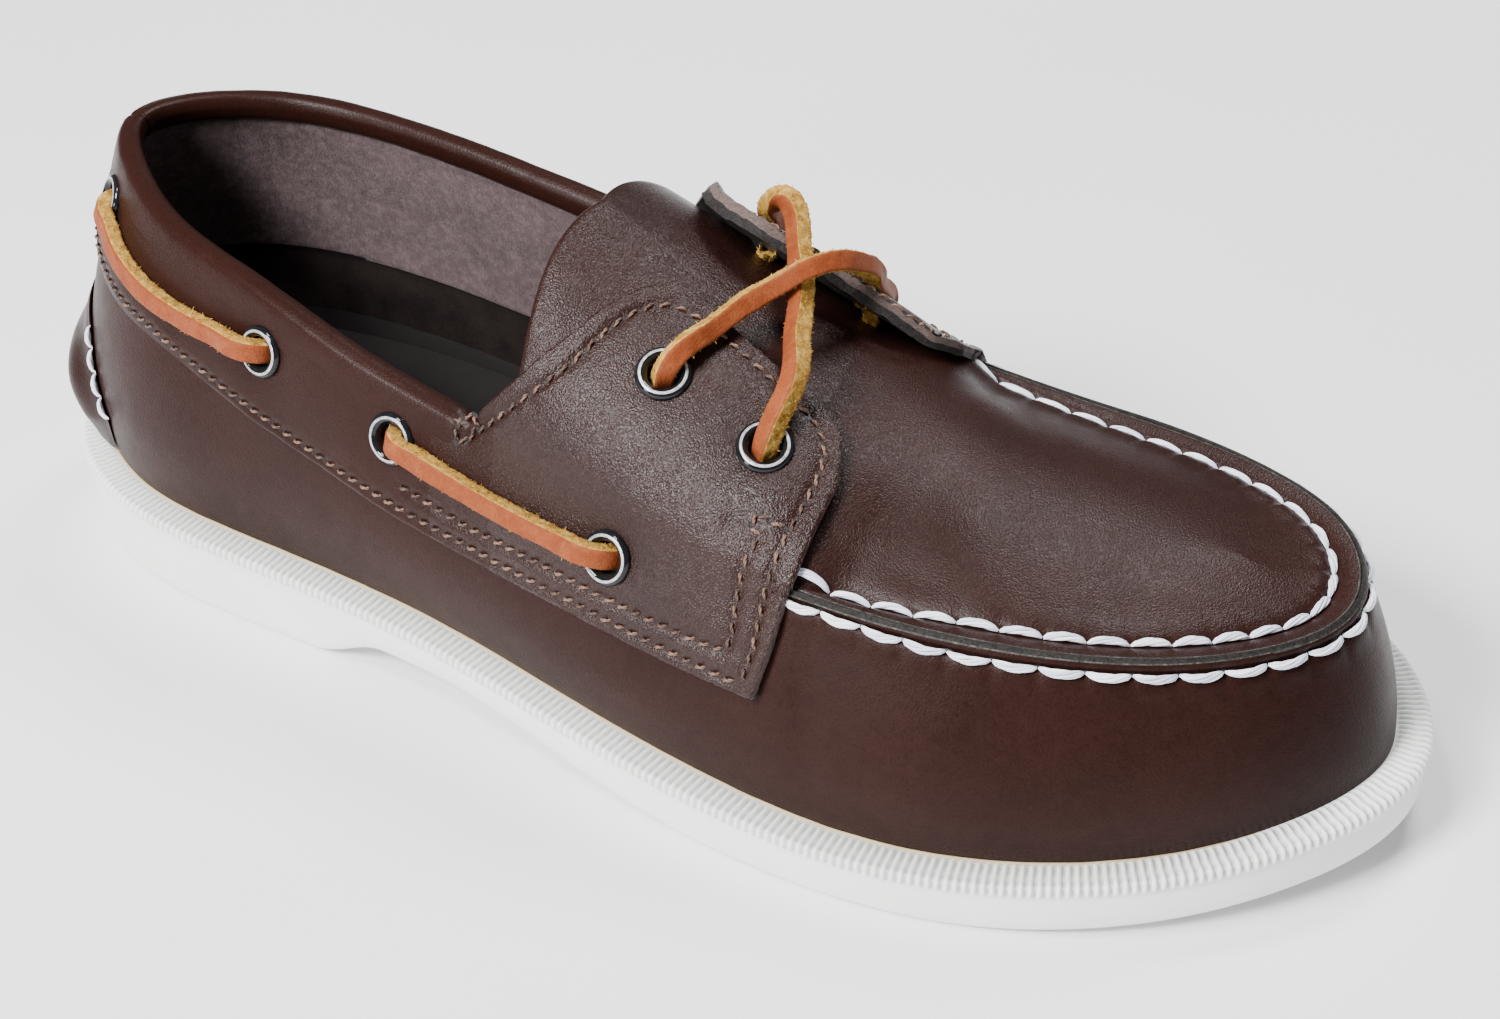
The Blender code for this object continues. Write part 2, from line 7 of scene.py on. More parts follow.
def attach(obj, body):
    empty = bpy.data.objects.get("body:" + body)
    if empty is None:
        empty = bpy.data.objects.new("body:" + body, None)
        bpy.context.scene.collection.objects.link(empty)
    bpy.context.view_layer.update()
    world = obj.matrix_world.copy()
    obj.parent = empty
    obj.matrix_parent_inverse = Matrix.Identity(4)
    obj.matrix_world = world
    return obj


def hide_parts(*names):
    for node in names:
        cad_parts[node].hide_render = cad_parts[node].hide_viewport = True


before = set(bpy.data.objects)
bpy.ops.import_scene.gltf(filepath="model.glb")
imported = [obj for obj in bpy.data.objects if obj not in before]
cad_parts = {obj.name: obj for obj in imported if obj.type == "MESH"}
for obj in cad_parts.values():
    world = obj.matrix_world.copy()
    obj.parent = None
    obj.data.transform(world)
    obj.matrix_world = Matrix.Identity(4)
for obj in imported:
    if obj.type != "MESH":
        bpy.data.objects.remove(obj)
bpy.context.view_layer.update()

# =============================================================== sizes and tables (mm)
# Drawing frame: X heel back to toe tip, +Y medial, -Y lateral, Z up from the floor.
MM = 0.001
LENGTH, WALL, GAP, LEDGE = 298.0, 2.0, 0.3, 6.2
STAY_T, TONGUE_T, INSOLE_T, SOLE_FORE_T = 2.0, 1.8, 3.0, 11.3
HEEL_PAD, BREAST, ARCH_H, FORE_PAD = (7.0, 84.0), 104.0, 6.6, (188.0, 232.0)
MED_ROUND = 0.25
SEAM_W, SEAM_DIP = 4.6, 0.9
STITCH = 7.9             # pitch of the white moccasin stitches
BROWN = 3.0              # pitch of the brown stitches
# Outsole edge in plan: lateral x, y, medial x, y
OUTLINE = [
    (0.0, -3.5, 0.0, -3.5), (9.0, -26.0, 9.0, 20.5), (36.0, -42.0, 36.0, 34.0),
    (72.0, -45.6, 72.0, 36.8), (105.0, -47.2, 105.0, 35.3), (132.0, -50.8, 132.0, 36.6),
    (165.0, -56.6, 165.0, 41.6), (203.0, -60.3, 201.0, 48.8), (235.0, -56.6, 232.0, 51.0),
    (263.0, -44.8, 261.0, 47.0), (286.0, -25.0, 283.0, 33.5), (298.0, 4.0, 298.0, 4.0)]
# Wall top: lateral x, y, z, medial x, y, z, bulge lateral, bulge medial
WALL_TOP = [
    (18.5, -1.0, 85.6, 18.5, -1.0, 85.6, 6.0, 6.0),
    (28.5, -13.5, 83.2, 24.5, 13.5, 84.8, 5.5, 5.5),
    (47.0, -24.0, 79.4, 42.0, 26.0, 82.0, 5.0, 4.0),
    (73.0, -31.3, 76.4, 70.0, 29.5, 79.2, 4.5, 3.0),
    (101.0, -35.5, 69.5, 101.0, 30.0, 74.5, 4.5, 2.5),
    (127.0, -37.0, 63.5, 127.0, 31.0, 69.0, 4.5, 3.0),
    (164.0, -42.0, 57.5, 162.0, 31.5, 62.0, 4.0, 3.5),
    (200.0, -43.5, 53.5, 197.0, 31.0, 57.0, 4.0, 4.0),
    (231.0, -40.5, 52.0, 225.0, 33.5, 52.5, 4.5, 4.0),
    (257.0, -30.0, 49.5, 251.0, 32.5, 50.3, 4.0, 3.5),
    (275.0, -14.0, 47.0, 273.5, 24.0, 48.0, 2.8, 2.2),
    (283.0, 5.0, 46.2, 283.0, 5.0, 46.2, 1.6, 1.6)]
# Crest of the instep and plug: station, x, y, z, roundness
CREST = [
    (4.0, 112.0, -2.0, 107.0, 0.54), (5.0, 135.0, -2.0, 96.0, 0.56),
    (6.0, 163.0, -3.0, 82.5, 0.62), (7.0, 198.0, -3.5, 69.0, 0.78),
    (8.0, 222.0, -2.5, 61.8, 0.92), (9.0, 241.0, -1.0, 57.2, 1.0),
    (10.0, 254.0, 0.5, 54.2, 1.0), (11.0, 262.0, 2.0, 52.4, 1.0)]
SOLE_TOP = [(0, 20.8), (50, 19.0), (100, 17.0), (150, 14.4), (200, 12.0), (230, 11.6),
            (260, 12.9), (280, 14.8), (298, 17.4)]
# Eyelets: lateral station, place, medial station, place, on the eyestay
EYELETS = [(0.93, 0.85, 0.93, 0.85, 0), (3.18, 0.81, 3.18, 0.81, 0), (4.40, 0.80, 4.40, 0.80, 0),
           (5.99, 0.83, 5.99, 0.83, 1), (6.02, 1.60, 5.86, 1.52, 1), (6.61, 1.58, 6.50, 1.50, 1)]
# The overlay panel: its lower edge from the heel, its front edge, its free top edge
PANEL_LOW = [(0.0, 0.645), (0.6, 0.648), (1.11, 0.645), (1.59, 0.637), (2.15, 0.632), (2.64, 0.602),
             (3.06, 0.562), (3.37, 0.543), (3.84, 0.530), (4.35, 0.510), (4.80, 0.508),
             (5.30, 0.516), (5.80, 0.535), (6.30, 0.540), (6.86, 0.545)]
STAY_FRONT = [(6.86, 0.545), (6.93, 0.75), (6.97, 0.92), (6.99, 1.17), (7.00, 1.36)]
TOP_LATERAL = [(5.06, 1.00), (5.15, 1.12), (5.35, 1.33), (5.52, 1.54), (5.61, 1.69), (5.71, 1.80),
               (5.82, 1.87), (5.95, 1.88), (6.33, 1.845), (6.72, 1.81), (6.92, 1.74), (7.01, 1.60),
               (7.00, 1.36)]
TOP_MEDIAL = [(5.06, 1.00), (5.15, 1.12), (5.30, 1.33), (5.44, 1.54), (5.52, 1.68), (5.61, 1.77),
              (5.75, 1.82), (5.95, 1.83), (6.33, 1.77), (6.72, 1.71), (6.92, 1.64), (7.01, 1.52),
              (7.00, 1.36)]
FLAP_LIFT = [(5.0, 4.0), (5.44, 4.6), (5.61, 5.6), (5.8, 7.3), (5.95, 8.0), (6.33, 7.0), (6.72, 5.4), (7.0, 2.3)]
# Rows of brown stitching on the panel
ROW_OUTER = [(6.80, 0.60), (6.85, 0.75), (6.87, 0.98), (6.89, 1.32), (6.91, 1.46), (6.91, 1.60),
             (6.87, 1.69), (6.76, 1.745), (6.55, 1.775), (6.37, 1.80), (6.24, 1.81), (6.04, 1.82),
             (5.90, 1.81), (5.80, 1.77), (5.72, 1.69), (5.66, 1.60), (5.59, 1.47), (5.47, 1.33),
             (5.30, 1.17), (5.16, 1.04), (5.06, 0.955)]
ROW_INNER = [(4.45, 0.64), (5.08, 0.63), (5.60, 0.66), (6.04, 0.67), (6.46, 0.68), (6.68, 0.685),
             (6.72, 0.72), (6.72, 0.88), (6.73, 1.087), (6.74, 1.20),
             (6.77, 1.283)]
ROW_LOWER = [(0.0, 0.685), (0.6, 0.687), (1.11, 0.68), (1.59, 0.67), (2.15, 0.665), (2.64, 0.635),
             (3.06, 0.60), (3.37, 0.58), (3.84, 0.568), (4.35, 0.552), (4.70, 0.55), (5.30, 0.56),
             (5.79, 0.585), (6.23, 0.59), (6.77, 0.585)]

N = len(OUTLINE) - 1


def periodic(rows):
    p = np.array(rows, float)
    n = len(p)
    a = np.zeros((n, n))
    for i in range(n):
        a[i, (i - 1) % n], a[i, i], a[i, (i + 1) % n] = 1, 4, 1
    d = np.linalg.solve(a, 3 * (np.roll(p, -1, 0) - np.roll(p, 1, 0)))

    def f(s):
        s = np.atleast_1d(np.asarray(s, float)) % n
        i = np.floor(s).astype(int) % n
        t = (s - np.floor(s))[:, None]
        j = (i + 1) % n
        return ((2 * t**3 - 3 * t**2 + 1) * p[i] + (t**3 - 2 * t**2 + t) * d[i]
                + (3 * t**2 - 2 * t**3) * p[j] + (t**3 - t**2) * d[j])
    return f


def both_sides(rows, lateral, medial):
    return ([tuple(r[c] for c in lateral) for r in rows]
            + [tuple(r[c] for c in medial) for r in rows[1:-1]][::-1])


def natural(xs, ys):
    x, y = np.array(xs, float), np.array(ys, float)
    n, h = len(x), np.diff(np.array(xs, float))
    a, b = np.zeros((n, n)), np.zeros(n)
    a[0, 0], a[0, 1], b[0] = 2 * h[0], h[0], 3 * (y[1] - y[0])
    a[-1, -1], a[-1, -2], b[-1] = 2 * h[-1], h[-1], 3 * (y[-1] - y[-2])
    for i in range(1, n - 1):
        a[i, i - 1], a[i, i], a[i, i + 1] = h[i], 2 * (h[i] + h[i - 1]), h[i - 1]
        b[i] = 3 * (h[i] * (y[i] - y[i - 1]) / h[i - 1] + h[i - 1] * (y[i + 1] - y[i]) / h[i])
    m = np.linalg.solve(a, b)

    def f(q):
        q0 = np.asarray(q, float)
        q = np.clip(q0, x[0], x[-1])
        i = np.clip(np.searchsorted(x, q, side='right') - 1, 0, n - 2)
        t = (q - x[i]) / h[i]
        past = (q0 - q) * np.where(q0 > q, m[-1], m[0])
        return past + ((2 * t**3 - 3 * t**2 + 1) * y[i] + (t**3 - 2 * t**2 + t) * h[i] * m[i]
                       + (3 * t**2 - 2 * t**3) * y[i + 1] + (t**3 - t**2) * h[i] * m[i + 1])
    return f


def ramp(x, a, b):
    t = np.clip((np.asarray(x, float) - a) / (b - a), 0, 1)
    return t * t * (3 - 2 * t)


def bell(x, c, w):
    return np.exp(-((np.asarray(x, float) - c) / w) ** 2)


outline = periodic(both_sides(OUTLINE, (0, 1), (2, 3)))
wall_top = periodic(both_sides(WALL_TOP, (0, 1, 2), (3, 4, 5)))
bulge = periodic(both_sides(WALL_TOP, (6,), (7,)))
sole_top = natural(*zip(*SOLE_TOP))
crest_x, crest_y, crest_z, crest_round = [natural([r[0] for r in CREST], [r[i] for r in CREST])
                                          for i in (1, 2, 3, 4)]
_edge = outline(np.linspace(0, 2 * N, 2001))
X0, Y0 = [(_edge[:, i].min() + _edge[:, i].max()) / 2 for i in (0, 1)]


def outline_normal(s):
    t = outline(np.asarray(s) + 1e-3) - outline(np.asarray(s) - 1e-3)
    n = np.c_[t[:, 1], -t[:, 0]]
    return n / np.linalg.norm(n, axis=1)[:, None]


def inset(s, d):
    return outline(s) - d * outline_normal(s)


def station(s):
    s = np.atleast_1d(np.asarray(s, float)) % (2 * N)
    return np.where(s <= N, s, 2 * N - s)


def wall(s, v):
    p = inset(s, LEDGE)
    foot = np.c_[p, sole_top(p[:, 0]) + GAP + 0.1]
    q = foot + (wall_top(s) - foot) * v[:, None]
    q[:, :2] += outline_normal(s) * (bulge(s)[:, 0] * 4 * v * (1 - v) * (1.35 - 0.7 * v))[:, None]
    return q


def dome(s, q):
    k, u = station(s), wall_top(s)
    g = np.c_[crest_x(k), crest_y(k), crest_z(k)]
    front = ramp(k, 6.9, 7.3)
    p = 1 - np.cos(q * pi / 2)
    band = SEAM_W / np.hypot(*(g - u)[:, :2].T) * front
    t = np.clip((p - band) / (1 - band), 0, 1)
    medial = (np.asarray(s) % (2 * N) > N) * MED_ROUND * ramp(k, 5.5, 6.7) * (1 - ramp(k, 8.5, 11.0))
    z = (1 - (1 - t) ** 2) ** (crest_round(k) + medial)
    slope = (crest_z(k + .02) - crest_z(k - .02)) / (crest_x(k + .02) - crest_x(k - .02))
    rise = slope * (g[:, 0] - u[:, 0]) * ramp(k, 6.0, 9.0)
    inner = 1 - np.clip(p / np.maximum(band, 1e-6), 0, 1)
    dip = SEAM_DIP * front * np.where(p < band, 1 - inner ** 2, 1 - t)
    out = u + (g - u) * np.c_[p, p, z]
    out[:, 2] += rise * (t - z) - dip
    return out


def skin(s, w, off=0.0):
    s = np.atleast_1d(np.asarray(s, float))
    w = np.atleast_1d(np.asarray(w, float)) * np.ones(len(s))
    p = np.where((w <= 1)[:, None], wall(s, np.clip(w, 0, 1)), dome(s, np.clip(w - 1, 0, 1)))
    off = np.asarray(off, float) * np.ones(len(s))
    if np.any(off):
        p = p + skin_normal(s, w) * off[:, None]
    return p


def skin_normal(s, w):
    e = 2e-3
    w = np.atleast_1d(np.asarray(w, float)) * np.ones(len(np.atleast_1d(s)))
    ds = skin(s + e, w) - skin(s - e, w)
    dw = skin(s, np.minimum(w + e, 1.99)) - skin(s, np.maximum(w - e, 0) - (w > 1.98) * 0.01)
    n = np.cross(ds, dw)
    return n / np.maximum(np.linalg.norm(n, axis=1), 1e-9)[:, None]


def flap_lift(k, w):
    """The medial panel stands off the tongue, more and more towards its open edge."""
    top = np.interp(k, *zip(*TOP_MEDIAL[:12]))
    t = np.clip(1 - (top - w) / 0.25, 0, 1.15) ** 1.25
    return np.interp(k, *zip(*FLAP_LIFT)) * ramp(top, 1.1, 1.85) * t


def stay_skin(side, k, w, off=0.0):
    """Underside of a panel; the seam below it is bridged by a soft bend."""
    k, w = np.atleast_1d(np.asarray(k, float)), np.atleast_1d(np.asarray(w, float))
    k, w, off = np.broadcast_arrays(k, w, off)
    lift = flap_lift(k, w) if side > 0 else 0.0
    s, o = k if side < 0 else 2 * N - k, GAP + 0.05 + lift + off
    soft = (bell(w, 1.0, 0.16) * ramp(k, 4.9, 5.25))[:, None]
    out = skin(s, w, o)
    mean = sum(c * skin(s, np.maximum(w + d, 0.3), o) for c, d in
               ((0.1, -0.13), (0.24, -0.065), (0.32, 0.0), (0.24, 0.065), (0.1, 0.13)))
    return out * (1 - soft) + mean * soft


def stay_normal(side, k, w):
    e = 4e-3
    n = np.cross(stay_skin(side, k + e, w) - stay_skin(side, k - e, w),
                 stay_skin(side, k, w + e) - stay_skin(side, k, w - e)) * -side
    return n / np.linalg.norm(n, axis=1)[:, None]


def sole_bottom(x):
    arch = ARCH_H * ramp(x, HEEL_PAD[1], BREAST) * (1 - ramp(x, BREAST + 14, FORE_PAD[0]))
    spring = (float(sole_top(LENGTH)) - SOLE_FORE_T) * np.clip(
        (np.asarray(x, float) - FORE_PAD[1]) / (LENGTH - FORE_PAD[1]), 0, 1) ** 1.6
    heel = 2.0 * (1 - ramp(x, 0.0, HEEL_PAD[0]))
    return arch + spring + heel


# =============================================================== numeric helpers
def noise(p, size, seed=0):
    """Smooth lattice noise in -1..1 at points p (mm), feature size in mm."""
    q = np.asarray(p, float) / size
    i = np.floor(q).astype(np.int64)
    f = q - i
    f = f * f * (3 - 2 * f)
    out = np.zeros(len(q))
    for a in (0, 1):
        for b in (0, 1):
            for c in (0, 1):
                h = ((i[:, 0] + a) * 374761393 + (i[:, 1] + b) * 668265263
                     + (i[:, 2] + c) * 1442695041 + seed * 974126177) & 0xFFFFFFFF
                h = ((h ^ (h >> 13)) * 1274126177) & 0xFFFFFFFF
                h = ((h ^ (h >> 16)) & 0xFFFFFF) / 8388607.5 - 1
                w = ((f[:, 0] if a else 1 - f[:, 0]) * (f[:, 1] if b else 1 - f[:, 1])
                     * (f[:, 2] if c else 1 - f[:, 2]))
                out += h * w
    return out


def fbm(p, size, seed=0, octaves=3):
    out, amp, tot = 0, 1.0, 0.0
    for o in range(octaves):
        out = out + amp * noise(p, size / 2 ** o, seed + 17 * o)
        tot += amp
        amp *= 0.5
    return out / tot


def resample(p, step=None, n=None):
    """Polyline through p at equal spacing, with the distances."""
    p = np.asarray(p, float)
    d = np.r_[0, np.cumsum(np.linalg.norm(np.diff(p, axis=0), axis=1))]
    if n is None:
        n = max(2, int(round(d[-1] / step)) + 1)
    t = np.linspace(0, d[-1], n)
    return np.c_[[np.interp(t, d, p[:, i]) for i in range(p.shape[1])]].T


def spline(p, n):
    p = np.array(p, float)
    d = np.r_[0, np.cumsum(np.linalg.norm(np.diff(p, axis=0), axis=1))]
    t = np.linspace(0, d[-1], n)
    return np.c_[[natural(d, p[:, i])(t) for i in range(p.shape[1])]].T


def near(P, line):
    """Distance from each point of P to the nearest point of a densely sampled line."""
    out = np.empty(len(P))
    for a in range(0, len(P), 4000):
        q = P[a:a + 4000]
        out[a:a + 4000] = np.sqrt(((q[:, None, :] - line[None]) ** 2).sum(2).min(1))
    return out


def chain(table, t):
    a = np.array(table, float)
    d = np.r_[0, np.cumsum(np.linalg.norm(np.diff(a * (8, 10), axis=0), axis=1))]
    d /= d[-1]
    return np.c_[np.interp(t, d, a[:, 0]), np.interp(t, d, a[:, 1])]


def soft_chain(table, t, passes=3, n=400):
    """The chain with its corners rounded a little."""
    q = chain(table, np.linspace(0, 1, n))
    for _ in range(passes * 8):
        q[1:-1] = 0.25 * q[:-2] + 0.5 * q[1:-1] + 0.25 * q[2:]
    d = np.r_[0, np.cumsum(np.linalg.norm(np.diff(q * (8, 10), axis=0), axis=1))]
    d /= d[-1]
    return np.c_[np.interp(t, d, q[:, 0]), np.interp(t, d, q[:, 1])]


def unit(v):
    v = np.asarray(v, float)
    return v / np.maximum(np.linalg.norm(v, axis=-1, keepdims=True), 1e-12)


def quads(nr, nc, wrap=False, off=0, flip=False):
    r = np.arange(nr - 1)[:, None]
    c = np.arange(nc if wrap else nc - 1)[None, :]
    a, b = r * nc + c, r * nc + (c + 1) % nc
    f = np.stack([a, b, b + nc, a + nc], -1).reshape(-1, 4) + off
    return f[:, ::-1] if flip else f


def grid_normals(P, wrap=False):
    """Unit normals of a grid P[row, column]."""
    du = np.roll(P, -1, 1) - np.roll(P, 1, 1)
    if not wrap:
        du[:, 0], du[:, -1] = P[:, 1] - P[:, 0], P[:, -1] - P[:, -2]
    dv = np.empty_like(P)
    dv[1:-1] = P[2:] - P[:-2]
    dv[0], dv[-1] = P[1] - P[0], P[-1] - P[-2]
    return unit(np.cross(du, dv))


PIECES = []


def piece(name, V, F, mats, mi=None, uv=None, attrs=None, flat=False, weld=False, sharp=None):
    """A finished mesh object from drawing-frame points (mm), riding on the root."""
    me = bpy.data.meshes.new(name)
    W = (np.asarray(V, float) - (X0, Y0, 0)) * MM
    me.from_pydata(W.tolist(), [], np.asarray(F).tolist() if not isinstance(F, list) else F)
    for m in (mats if isinstance(mats, (list, tuple)) else [mats]):
        me.materials.append(m)
    if mi is not None:
        me.polygons.foreach_set("material_index", np.asarray(mi, np.int32))
    if uv is not None:
        lay = me.uv_layers.new(name="UVMap")
        idx = np.empty(len(me.loops), np.int32)
        me.loops.foreach_get("vertex_index", idx)
        lay.data.foreach_set("uv", np.asarray(uv, np.float32)[idx].ravel())
    for key, val in (attrs or {}).items():
        a = me.attributes.new(key, 'FLOAT', 'POINT')
        a.data.foreach_set("value", np.asarray(val, np.float32))
    me.polygons.foreach_set("use_smooth", np.full(len(me.polygons), not flat))
    me.validate()
    me.update()
    if sharp is not None:
        me.set_sharp_from_angle(angle=sharp)
    ob = bpy.data.objects.new(name, me)
    bpy.context.scene.collection.objects.link(ob)
    PIECES.append(ob)
    return ob


def facing(V, F, centre):
    """Faces turned away from a point."""
    V, F = np.asarray(V), np.asarray(F)
    c = V[F].mean(1)
    n = np.cross(V[F[:, 2]] - V[F[:, 0]], V[F[:, 3]] - V[F[:, 1]])
    return F if ((c - centre) * n).sum() > 0 else F[:, ::-1]


def slab(P, Nn, outer, inner, rim=3, bulge_rim=0.25, wrap=False, edge=0.66):
    """Closed thick sheet on a grid. outer and inner are offset arrays; returns vertices,
    faces, and a flag for the faces of the cut rim."""
    nr, nc = P.shape[:2]
    A = P + Nn * outer[..., None]
    B = P + Nn * inner[..., None]
    V = [A.reshape(-1, 3), B.reshape(-1, 3)]
    fo, fi = quads(nr, nc, wrap), quads(nr, nc, wrap, nr * nc, True)
    # border loop
    if wrap:
        loops = [np.arange(nc), (nr - 1) * nc + np.arange(nc)[::-1]]
    else:
        loops = [np.r_[np.arange(nc), np.arange(1, nr) * nc + nc - 1,
                       (nr - 1) * nc + np.arange(nc - 2, -1, -1), np.arange(nr - 2, 0, -1) * nc]]
    F, flag = [fo, fi], [np.zeros(len(fo)), np.ones(len(fi)) * 2]
    base = 2 * nr * nc
    a, b = V
    for L in loops:
        n = len(L)
        mid = a[L] * 0.5 + b[L] * 0.5
        nx = np.roll(mid, -1, 0) - np.roll(mid, 1, 0)
        out = unit(np.cross(nx, a[L] - b[L]))
        rows = []
        for j in range(rim + 2):
            t = j / (rim + 1)
            rows.append(a[L] * (1 - t) + b[L] * t + out * (bulge_rim * sin(pi * t)))
        R = np.concatenate(rows)
        V.append(R)
        f = quads(rim + 2, n, True, base, True)
        F.append(f)
        flag.append(np.where(np.arange(len(f)) // n < edge * (rim + 1), 1, 3))
        base += len(R)
    V, F, flag = np.concatenate(V), np.concatenate(F), np.concatenate(flag)
    return V, F, flag


def sweep(path, prof, up, closed=False, caps=True, scale=None, roll=None):
    """Profile points (n, 2) carried along path; up gives each section's first axis."""
    path = np.asarray(path, float)
    t = unit(np.gradient(path, axis=0))
    a = np.asarray(up, float)
    a = unit(a - (a * t).sum(1, keepdims=True) * t)
    b = np.cross(t, a)
    n, m = len(path), len(prof)
    prof = np.asarray(prof, float)
    if prof.ndim == 2:
        prof = np.repeat(prof[None], n, 0)
    if scale is not None:
        prof = prof * np.asarray(scale)[:, None, None]
    V = path[:, None] + a[:, None] * prof[..., :1] + b[:, None] * prof[..., 1:]
    m = prof.shape[1]
    F = quads(n, m, True)
    V = V.reshape(-1, 3)
    return V, F


class Heap:
    """Many small shapes gathered into one mesh."""

    def __init__(self):
        self.V, self.F, self.n, self.A = [], [], 0, []

    def add(self, V, F, value=0.0):
        self.V.append(V)
        self.F.append(np.asarray(F) + self.n)
        self.A.append(np.full(len(V), value))
        self.n += len(V)

    def out(self):
        return np.concatenate(self.V), np.concatenate(self.F), np.concatenate(self.A)


def tube(path, r, sides=6, up=None, taper=None):
    """Round tube as a quad grid; its ends are left open."""
    path = np.asarray(path, float)
    ang = np.linspace(0, 2 * pi, sides, endpoint=False)
    prof = np.c_[np.cos(ang), np.sin(ang)]
    t = unit(np.gradient(path, axis=0))
    if up is None:
        up = np.tile(np.array([0.0, 0.0, 1.0]) + 0.3 * np.abs(t[:1]), (len(path), 1))
    sc = np.full(len(path), r) if np.ndim(r) == 0 else np.asarray(r, float)
    if taper is not None:
        sc = sc * taper
    return sweep(path, prof, up, scale=sc)


# =============================================================== materials
class Nodes:
    """Short way to write a node tree."""

    def __init__(self, name):
        self.mat = bpy.data.materials.new(name)
        self.mat.use_nodes = True
        self.t = self.mat.node_tree
        self.t.nodes.clear()
        self.out = self.t.nodes.new("ShaderNodeOutputMaterial")
        self.b = self.t.nodes.new("ShaderNodeBsdfPrincipled")
        self.t.links.new(self.b.outputs[0], self.out.inputs[0])
        tc = self.t.nodes.new("ShaderNodeTexCoord")
        self.obj = self.scale(tc.outputs["Object"], 1000.0)     # millimetres
        self.uv = tc.outputs["UV"]

    def put(self, sock, v):
        if isinstance(v, bpy.types.NodeSocket):
            self.t.links.new(v, sock)
        elif isinstance(v, (tuple, list)) and len(v) == 3 and sock.type == 'RGBA':
            sock.default_value = (*v, 1.0)
        else:
            sock.default_value = v

    def node(self, kind, ins=None, out=0, **props):
        n = self.t.nodes.new(kind)
        for k, v in props.items():
            setattr(n, k, v)
        for k, v in (ins or {}).items():
            self.put(n.inputs[k], v)
        return n.outputs[out]

    def scale(self, vec, s):
        n = self.t.nodes.new("ShaderNodeVectorMath")
        n.operation = 'MULTIPLY'
        self.t.links.new(vec, n.inputs[0])
        n.inputs[1].default_value = s if isinstance(s, (tuple, list)) else (s, s, s)
        return n.outputs[0]

    def noise(self, size, detail=3.0, vec=None, rough=0.5, out=0):
        return self.node("ShaderNodeTexNoise", {"Vector": vec or self.obj, "Scale": 1.0 / size,
                                                "Detail": detail, "Roughness": rough}, out)

    def cells(self, size, feature='F1', vec=None, out=0, rand=1.0, smooth=0.3):
        ins = {"Vector": vec or self.obj, "Scale": 1.0 / size, "Randomness": rand}
        if feature == 'SMOOTH_F1':
            ins["Smoothness"] = smooth
        return self.node("ShaderNodeTexVoronoi", ins, out, feature=feature)

    def ramp(self, fac, stops):
        n = self.t.nodes.new("ShaderNodeValToRGB")
        self.put(n.inputs[0], fac)
        e = n.color_ramp.elements
        while len(e) < len(stops):
            e.new(0.5)
        for el, (pos, col) in zip(e, stops):
            el.position = pos
            el.color = (*col, 1.0) if isinstance(col, (tuple, list)) else (col, col, col, 1.0)
        return n.outputs[0]

    def mix(self, fac, a, b, kind='MIX'):
        n = self.t.nodes.new("ShaderNodeMix")
        n.data_type = 'RGBA'
        n.blend_type = kind
        for s, v in ((n.inputs[0], fac), (n.inputs[6], a), (n.inputs[7], b)):
            self.put(s, v)
        return n.outputs[2]

    def math(self, op, a, b=0.0, c=0.0, clamp=False):
        n = self.t.nodes.new("ShaderNodeMath")
        n.operation = op
        n.use_clamp = clamp
        for s, v in zip(n.inputs, (a, b, c)):
            self.put(s, v)
        return n.outputs[0]

    def attr(self, name):
        n = self.t.nodes.new("ShaderNodeAttribute")
        n.attribute_name = name
        return n.outputs["Fac"]

    def bump(self, height, dist_mm, strength=1.0, normal=None):
        ins = {"Height": height, "Distance": dist_mm * MM, "Strength": strength}
        if normal is not None:
            ins["Normal"] = normal
        return self.node("ShaderNodeBump", ins)

    def done(self, color, rough, normal=None, **ins):
        self.put(self.b.inputs["Base Color"], color)
        self.put(self.b.inputs["Roughness"], rough)
        if normal is not None:
            self.put(self.b.inputs["Normal"], normal)
        for k, v in ins.items():
            self.put(self.b.inputs[k.replace("_", " ")], v)
        return self.mat


BROWN_DARK, BROWN_MID, BROWN_RED = (0.0165, 0.0058, 0.0044), (0.0225, 0.0080, 0.0062), (0.0195, 0.0054, 0.0034)


